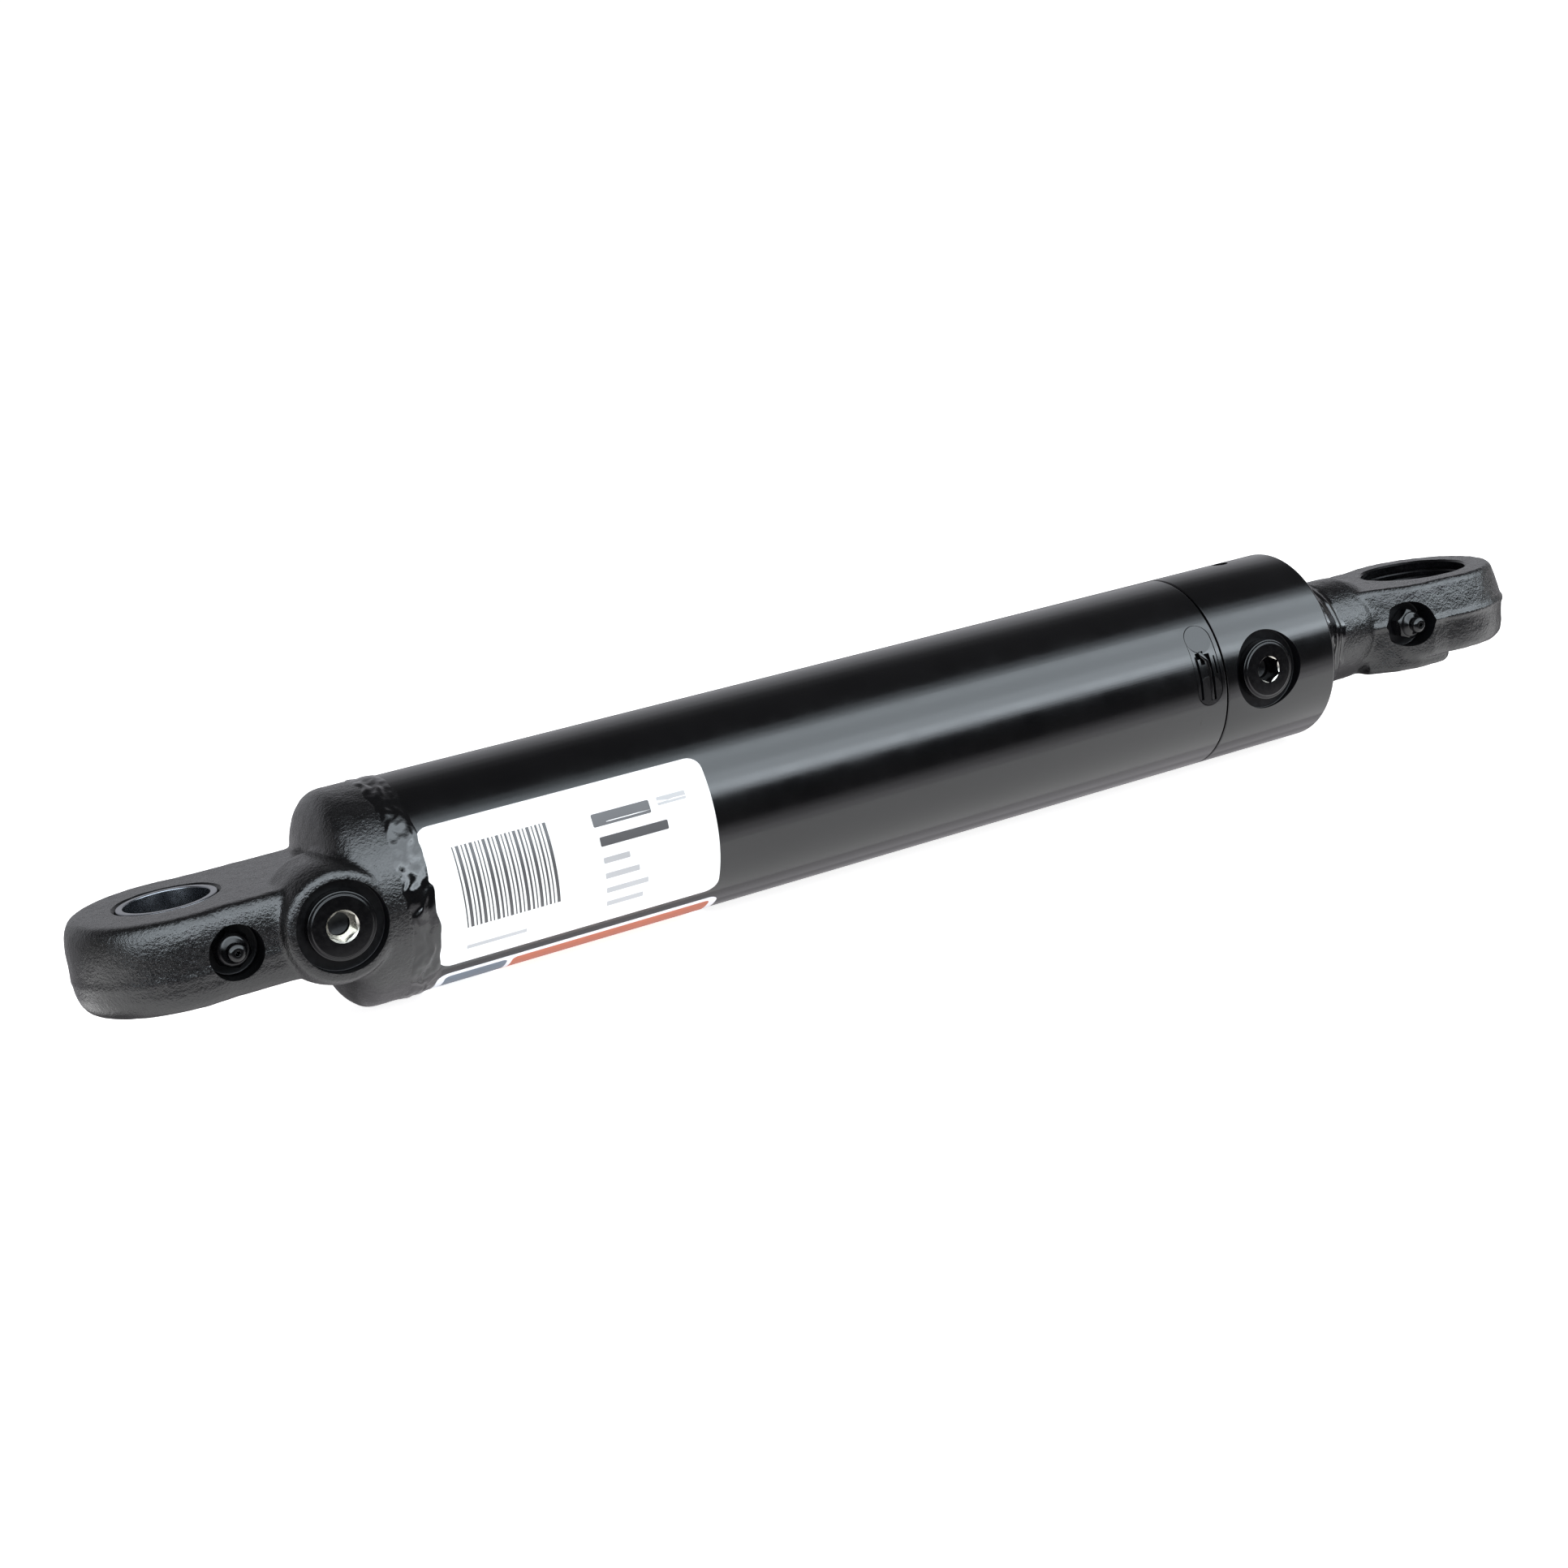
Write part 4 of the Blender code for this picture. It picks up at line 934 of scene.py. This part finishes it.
def bushing():
    half = TANG_HALF - 0.15 * MM
    profile = rounded([
        (half, BUSHING_BORE_R, 0.5 * MM),
        (half, BUSHING_R - 0.1 * MM, 0.5 * MM),
        (-half, BUSHING_R - 0.1 * MM, 0.5 * MM),
        (-half, BUSHING_BORE_R, 0.5 * MM),
    ])
    sleeve = turned("base_tang_bushing_turned", profile, Matrix.Identity(4), [BUSHING], 128)
    aim = Vector((BASE_FITTING.x, -19.5 * MM, 0)).to_track_quat("Z", "Y").to_matrix().to_4x4()
    grease_hole = [(30 * MM, 0.0), (30 * MM, 1.5 * MM), (8 * MM, 1.5 * MM), (8 * MM, 0.0)]
    half_turn = Matrix.Rotation(math.pi, 4, "Z")
    cut(sleeve, [turned("hole_tool", grease_hole, turn, [PLUG], 32) for turn in (aim, half_turn @ aim)])
    place(sleeve, "barrel", "bushing_steel", "base_tang_bushing")


# ---------------------------------------------------------------- labels

def wrapped_patch(bm, x_low, x_high, low_deg, high_deg, radius, thickness, corner=0.0, slot=0):
    """A thin patch on the tube, with rounded corners."""
    height = math.radians(high_deg - low_deg) * radius
    width = x_high - x_low
    outline = []
    corner = min(corner, width / 2.01, height / 2.01)
    for cx, cy, start in (
        (width - corner, corner, -90), (width - corner, height - corner, 0),
        (corner, height - corner, 90), (corner, corner, 180),
    ):
        turns = 6 if corner > 0 else 0
        for k in range(turns + 1):
            angle = math.radians(start + (90 * k / turns if turns else 45))
            outline.append((cx + corner * math.cos(angle), cy + corner * math.sin(angle)))
    rows = max(1, int(height / (1.6 * MM)))
    columns = max(1, int(width / (8 * MM)))
    bm_flat = bmesh.new()
    loop = [bm_flat.verts.new((x, y, 0)) for x, y in outline]
    bm_flat.faces.new(loop)
    splits = [((0, height * k / rows, 0), (0, 1, 0)) for k in range(1, rows)]
    splits += [((width * k / columns, 0, 0), (1, 0, 0)) for k in range(1, columns)]
    for point, normal in splits:
        geometry = bm_flat.verts[:] + bm_flat.edges[:] + bm_flat.faces[:]
        bmesh.ops.bisect_plane(bm_flat, geom=geometry, plane_co=point, plane_no=normal)
    extruded = bmesh.ops.extrude_face_region(bm_flat, geom=bm_flat.faces[:])
    top = [v for v in extruded["geom"] if isinstance(v, bmesh.types.BMVert)]
    for vertex in top:
        vertex.co.z = thickness
    made = {}
    for vertex in bm_flat.verts:
        degrees = low_deg + math.degrees(vertex.co.y / radius)
        made[vertex] = bm.verts.new(around(radius + vertex.co.z, degrees, x_low + vertex.co.x))
    for face in bm_flat.faces:
        copy = bm.faces.new([made[v] for v in face.verts])
        copy.material_index = slot
    bm_flat.free()


def spec_label():
    """A white label with generic blank rows and plain bars."""
    film = bmesh.new()
    low, high = -42.0, 38.0
    wrapped_patch(film, LABEL_LOW_X, LABEL_HIGH_X, low, high, TUBE_R + 0.02 * MM, FILM, 5 * MM)
    bmesh.ops.recalc_face_normals(film, faces=film.faces)
    place(new_object("spec_label_film", film, [LABEL], 50), "barrel", "label_white", "spec_label")
    ink = bmesh.new()
    widths = [
        0.5, 1.2, 0.5, 0.8, 1.2, 0.5, 0.5, 1.2, 0.8, 0.5, 1.2,
        0.5, 0.8, 0.5, 1.2, 0.8, 0.5, 1.2, 0.5, 0.8, 0.5, 1.2,
    ]
    x = LABEL_LOW_X + 10.5 * MM
    for width in widths:
        wrapped_patch(ink, x, x + width * MM, -19, 24, PRINT_R, PRINT)
        x += (width + 0.8) * MM
    # Blank blocks: start and end in mm along the label, low and high in degrees, corner, ink.
    blocks = [
        (61, 83, 14.5, 21.5, 0.6, 0),
        (86, 97, 17.0, 21.5, 0.5, 1),
        (62, 88, 4.0, 9.0, 0.5, 0),
    ]
    for k, width in enumerate((10, 13, 16, 14)):
        level = -3.5 - 8.5 * k
        blocks.append((62, 62 + width, level - 1.6, level + 1.6, 0.4, 1))
    blocks.append((10, 32, -32.5, -30.0, 0.4, 1))
    for start, end, bottom, top, corner, slot in blocks:
        x_low, x_high = LABEL_LOW_X + start * MM, LABEL_LOW_X + end * MM
        wrapped_patch(ink, x_low, x_high, bottom, top, PRINT_R, PRINT, corner * MM, slot)
    bmesh.ops.recalc_face_normals(ink, faces=ink.faces)
    place(new_object("spec_label_print", ink, [INK, INK_GREY], 50), "barrel", "label_white")


def side_decal():
    """The second label, under the barrel: a pale border, an orange field and a grey-blue one."""
    film = bmesh.new()
    low, high = -96.0, -50.0
    wrapped_patch(film, DECAL_LOW_X, DECAL_HIGH_X, low, high, TUBE_R + 0.02 * MM, FILM, 4 * MM)
    bmesh.ops.recalc_face_normals(film, faces=film.faces)
    place(new_object("side_decal_film", film, [DECAL], 50), "barrel", "decal_pale", "side_decal")
    ink = bmesh.new()
    fields = [(DECAL_LOW_X + 28 * MM, DECAL_HIGH_X - 3 * MM), (DECAL_LOW_X + 3 * MM, DECAL_LOW_X + 26 * MM)]
    for slot, (start, end) in enumerate(fields):
        wrapped_patch(ink, start, end, low + 3, high - 3.5, PRINT_R, PRINT, 2 * MM, slot)
    bmesh.ops.recalc_face_normals(ink, faces=ink.faces)
    place(new_object("side_decal_print", ink, [ORANGE, DECAL_GREY], 50), "barrel", "decal_pale")


# ---------------------------------------------------------------- carried-over nodes

def finish_cad_nodes():
    looks = {
        "piston_rod": CHROME, "piston": STEEL, "piston_nut": ZINC,
        "base_grease_check_ball": BALL, "rod_grease_check_ball": BALL,
        "base_grease_spring": SPRING, "rod_grease_spring": SPRING,
        "base_port_plug_o_ring": RUBBER, "gland_port_plug_o_ring": RUBBER, "gland_o_ring": RUBBER,
        "piston_o_ring": RUBBER, "piston_seal_energizer": RUBBER,
        "rod_seal": URETHANE, "rod_wiper": URETHANE, "piston_seal": URETHANE,
        "gland_backup_ring": NYLON, "rod_wear_ring": NYLON,
        "piston_wear_ring_front": NYLON, "piston_wear_ring_rear": NYLON,
    }
    for name, look in looks.items():
        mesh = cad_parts[name].data
        mesh.materials.clear()
        mesh.materials.append(look)


def chrome_rod():
    """The rod, round enough to show its chrome when it is out."""
    low, high = low_high("piston_rod", 0)
    profile = rounded([
        (high, 0.0),
        (high, 12.0 * MM),
        (high - 6.7 * MM, ROD_R, 0.3 * MM),
        (PISTON_STEP_X, ROD_R, 0.4 * MM),
        (PISTON_STEP_X, PISTON_STEP_R),
        (ROD_THREAD_X, PISTON_STEP_R),
        (ROD_THREAD_X, ROD_THREAD_R),
        (low + 1.2 * MM, ROD_THREAD_R),
        (low, 10.5 * MM),
        (low, 0.0),
    ])
    rod = turned("piston_rod_ground", profile, along_x(), [CHROME], 160)
    place(rod, "rod", "chrome_rod", "piston_rod")


def wiper():
    """The lip seal in the gland's face."""
    seat = WIPER_SEAT_X
    profile = rounded([
        (seat + 6.4 * MM, ROD_R + 0.15 * MM, 0.1 * MM),
        (seat + 6.4 * MM, ROD_R + 0.9 * MM, 0.3 * MM),
        (seat + 4.6 * MM, 21.0 * MM, 0.3 * MM),
        (seat + 4.7 * MM, WIPER_SEAT_R - 0.3 * MM, 0.3 * MM),
        (seat + 0.3 * MM, WIPER_SEAT_R - 0.3 * MM),
        (seat + 0.3 * MM, ROD_R + 1.2 * MM),
        (seat + 3.0 * MM, ROD_R + 1.0 * MM),
    ])
    lip = turned("rod_wiper_lip", profile, along_x(), [URETHANE], 128)
    place(lip, "barrel", "seal_urethane", "rod_wiper")


# ---------------------------------------------------------------- stage, light, camera

def card(name, corners, strength, colour=(1, 1, 1)):
    """A flat studio card that only shows in reflections."""
    bm = bmesh.new()
    bm.faces.new([bm.verts.new(c) for c in corners])
    look = bpy.data.materials.new(name)
    look.use_nodes = True
    tree = look.node_tree
    tree.nodes.clear()
    glow = tree.nodes.new("ShaderNodeEmission")
    glow.inputs["Color"].default_value = (*colour, 1)
    glow.inputs["Strength"].default_value = strength
    out = tree.nodes.new("ShaderNodeOutputMaterial")
    tree.links.new(glow.outputs["Emission"], out.inputs["Surface"])
    made = new_object(name, bm, [look])
    made.visible_camera = False
    made.visible_diffuse = False
    made.visible_shadow = False
    made.visible_transmission = False


def studio():
    floor_z = -TUBE_R - 1.3 * MM
    bm = bmesh.new()
    corners = [(-3, -0.42, floor_z), (4, -0.42, floor_z), (4, 6, floor_z), (-3, 6, floor_z)]
    bm.faces.new([bm.verts.new(c) for c in corners])
    paper = base_material("floor_paper", (0.85, 0.85, 0.86), 0.7)
    bump(paper, noise_texture(paper, 40, 2), 0.0002, 0.1)
    lit = paper.node_tree.nodes["Principled BSDF"]
    lit.inputs["Emission Color"].default_value = (1, 1, 1, 1)
    lit.inputs["Emission Strength"].default_value = 0.85
    floor = new_object("floor", bm, [paper])

    world = bpy.data.worlds.new("studio")
    world.use_nodes = True
    background = world.node_tree.nodes["Background"]
    background.inputs["Color"].default_value = (1.0, 1.0, 1.0, 1)
    background.inputs["Strength"].default_value = 1.05
    bpy.context.scene.world = world

    # Cards that only the paint's reflections see: dark ones level with the barrel in front and above it, a
    # softbox between them, and grey ones behind and under the barrel. The grey ones are painted shade: they
    # glow dimly just above the floor so that reflections show the barrel's own shadow there.
    near, far = -1.6, 2.6
    table_cards("table", near, far, floor_z + 0.4 * MM, [
        (-0.078, -0.095, 1.45), (-0.095, -0.12, 0.9), (-0.12, -0.15, 0.4), (-0.15, -1.05, 0.06),
    ], (0.97, 0.96, 1.0))
    # Painted shade: dim glowing strips over the floor under the barrel, standing in for its shadow in
    # reflections.
    table_cards("shade", -0.05, 0.92, floor_z + 0.4 * MM, [
        (-0.024, -0.016, 0.85), (-0.016, -0.006, 0.5), (-0.006, 0.07, 0.22),
    ], (0.98, 0.96, 1.0))
    # Painted shade: a dim glowing strip over the floor behind the barrel, where its shadow falls, seen only
    # in reflections.
    table_cards("rear_shade", near, far, floor_z + 0.4 * MM, [(0.07, 5.5, 0.42)], (1.0, 0.99, 1.04))
    band_cards("front", near, far, [
        (-5, 13, 0.05), (13, 18, 3.2), (18, 27, 7.6), (27, 38, 5.4), (38, 52, 4.3), (52, 63, 4.8),
        (63, 69, 2.4), (69, 76, 0.9),
    ], (0.84, 0.93, 1.0))
    band_cards("top", near, far, [
        (76, 118, 0.10), (118, 128, 0.16), (128, 137, 0.32), (137, 148, 0.55), (148, 172, 0.62),
        (172, 181, 0.42),
    ], (0.97, 0.98, 1.04))
    for end, x in (("near", near), ("far", far)):
        card(end + "_end_card", [(x, -1, floor_z), (x, 1, floor_z), (x, 1, 1), (x, -1, 1)], 0.3)

    key = bpy.data.lights.new("key", "AREA")
    key.shape = "RECTANGLE"
    key.size = 1.6
    key.size_y = 0.9
    key.energy = 6
    lamp = bpy.data.objects.new("key", key)
    lamp.location = (0.1, -0.9, 1.3)
    lamp.rotation_euler = (Vector((0.27, 0, 0)) - lamp.location).to_track_quat("-Z", "Y").to_euler()
    lamp.visible_glossy = False
    bpy.context.scene.collection.objects.link(lamp)


def band_cards(name, x_low, x_high, strips, colour):
    """Flat strips around the barrel's axis, each with its own brightness."""
    for k, (first, last, strength) in enumerate(strips):
        a, b = around(1.0, first), around(1.0, last)
        corners = [(x_low, a.y, a.z), (x_high, a.y, a.z), (x_high, b.y, b.z), (x_low, b.y, b.z)]
        card("%s_card_%d" % (name, k), corners, strength, colour)


def table_cards(name, x_low, x_high, z, strips, colour):
    """Flat strips just above the table, each with its own brightness."""
    for k, (first, last, strength) in enumerate(strips):
        corners = [(x_low, first, z), (x_high, first, z), (x_high, last, z), (x_low, last, z)]
        card("%s_card_%d" % (name, k), corners, strength, colour)


def camera():
    """A long view from the front left, a little above, tilted sideways."""
    lens_mm = 54.77
    stand = Vector((-0.1455, -0.7830, 0.1917))
    heading = math.radians(25.65)
    down = math.radians(12.59)
    roll = math.radians(-9.34)
    shot = bpy.data.cameras.new("camera")
    shot.lens = lens_mm
    shot.sensor_width = 36.0
    shot.clip_start = 0.01
    eye = bpy.data.objects.new("camera", shot)
    aim = Euler((math.pi / 2 - down, 0, -heading), "XYZ").to_matrix()
    aim = aim @ Matrix.Rotation(roll, 3, "Z")
    eye.matrix_world = Matrix.Translation(stand) @ aim.to_4x4()
    bpy.context.scene.collection.objects.link(eye)
    bpy.context.scene.camera = eye
    bpy.context.scene.view_settings.view_transform = "Standard"


camera()
studio()
base_casting()
rod_casting()
barrel()
gland()
retaining_wire()
slot_paint()
base_weld()
rod_weld()
plug("base_port_plug_head", PORT_X, SOCKET, 5.6 * MM, "base_port_plug")
plug("gland_port_plug_head", GLAND_PORT_X, PLUG, 5.25 * MM, "gland_port_plug")
fitting("base_grease_fitting_turned", BASE_FITTING.x, BASE_TIP, "barrel", "base_grease_fitting")
fitting("rod_grease_fitting_turned", ROD_FITTING.x, ROD_TIP, "rod", "rod_grease_fitting")
bushing()
spec_label()
side_decal()
chrome_rod()
wiper()
finish_cad_nodes()
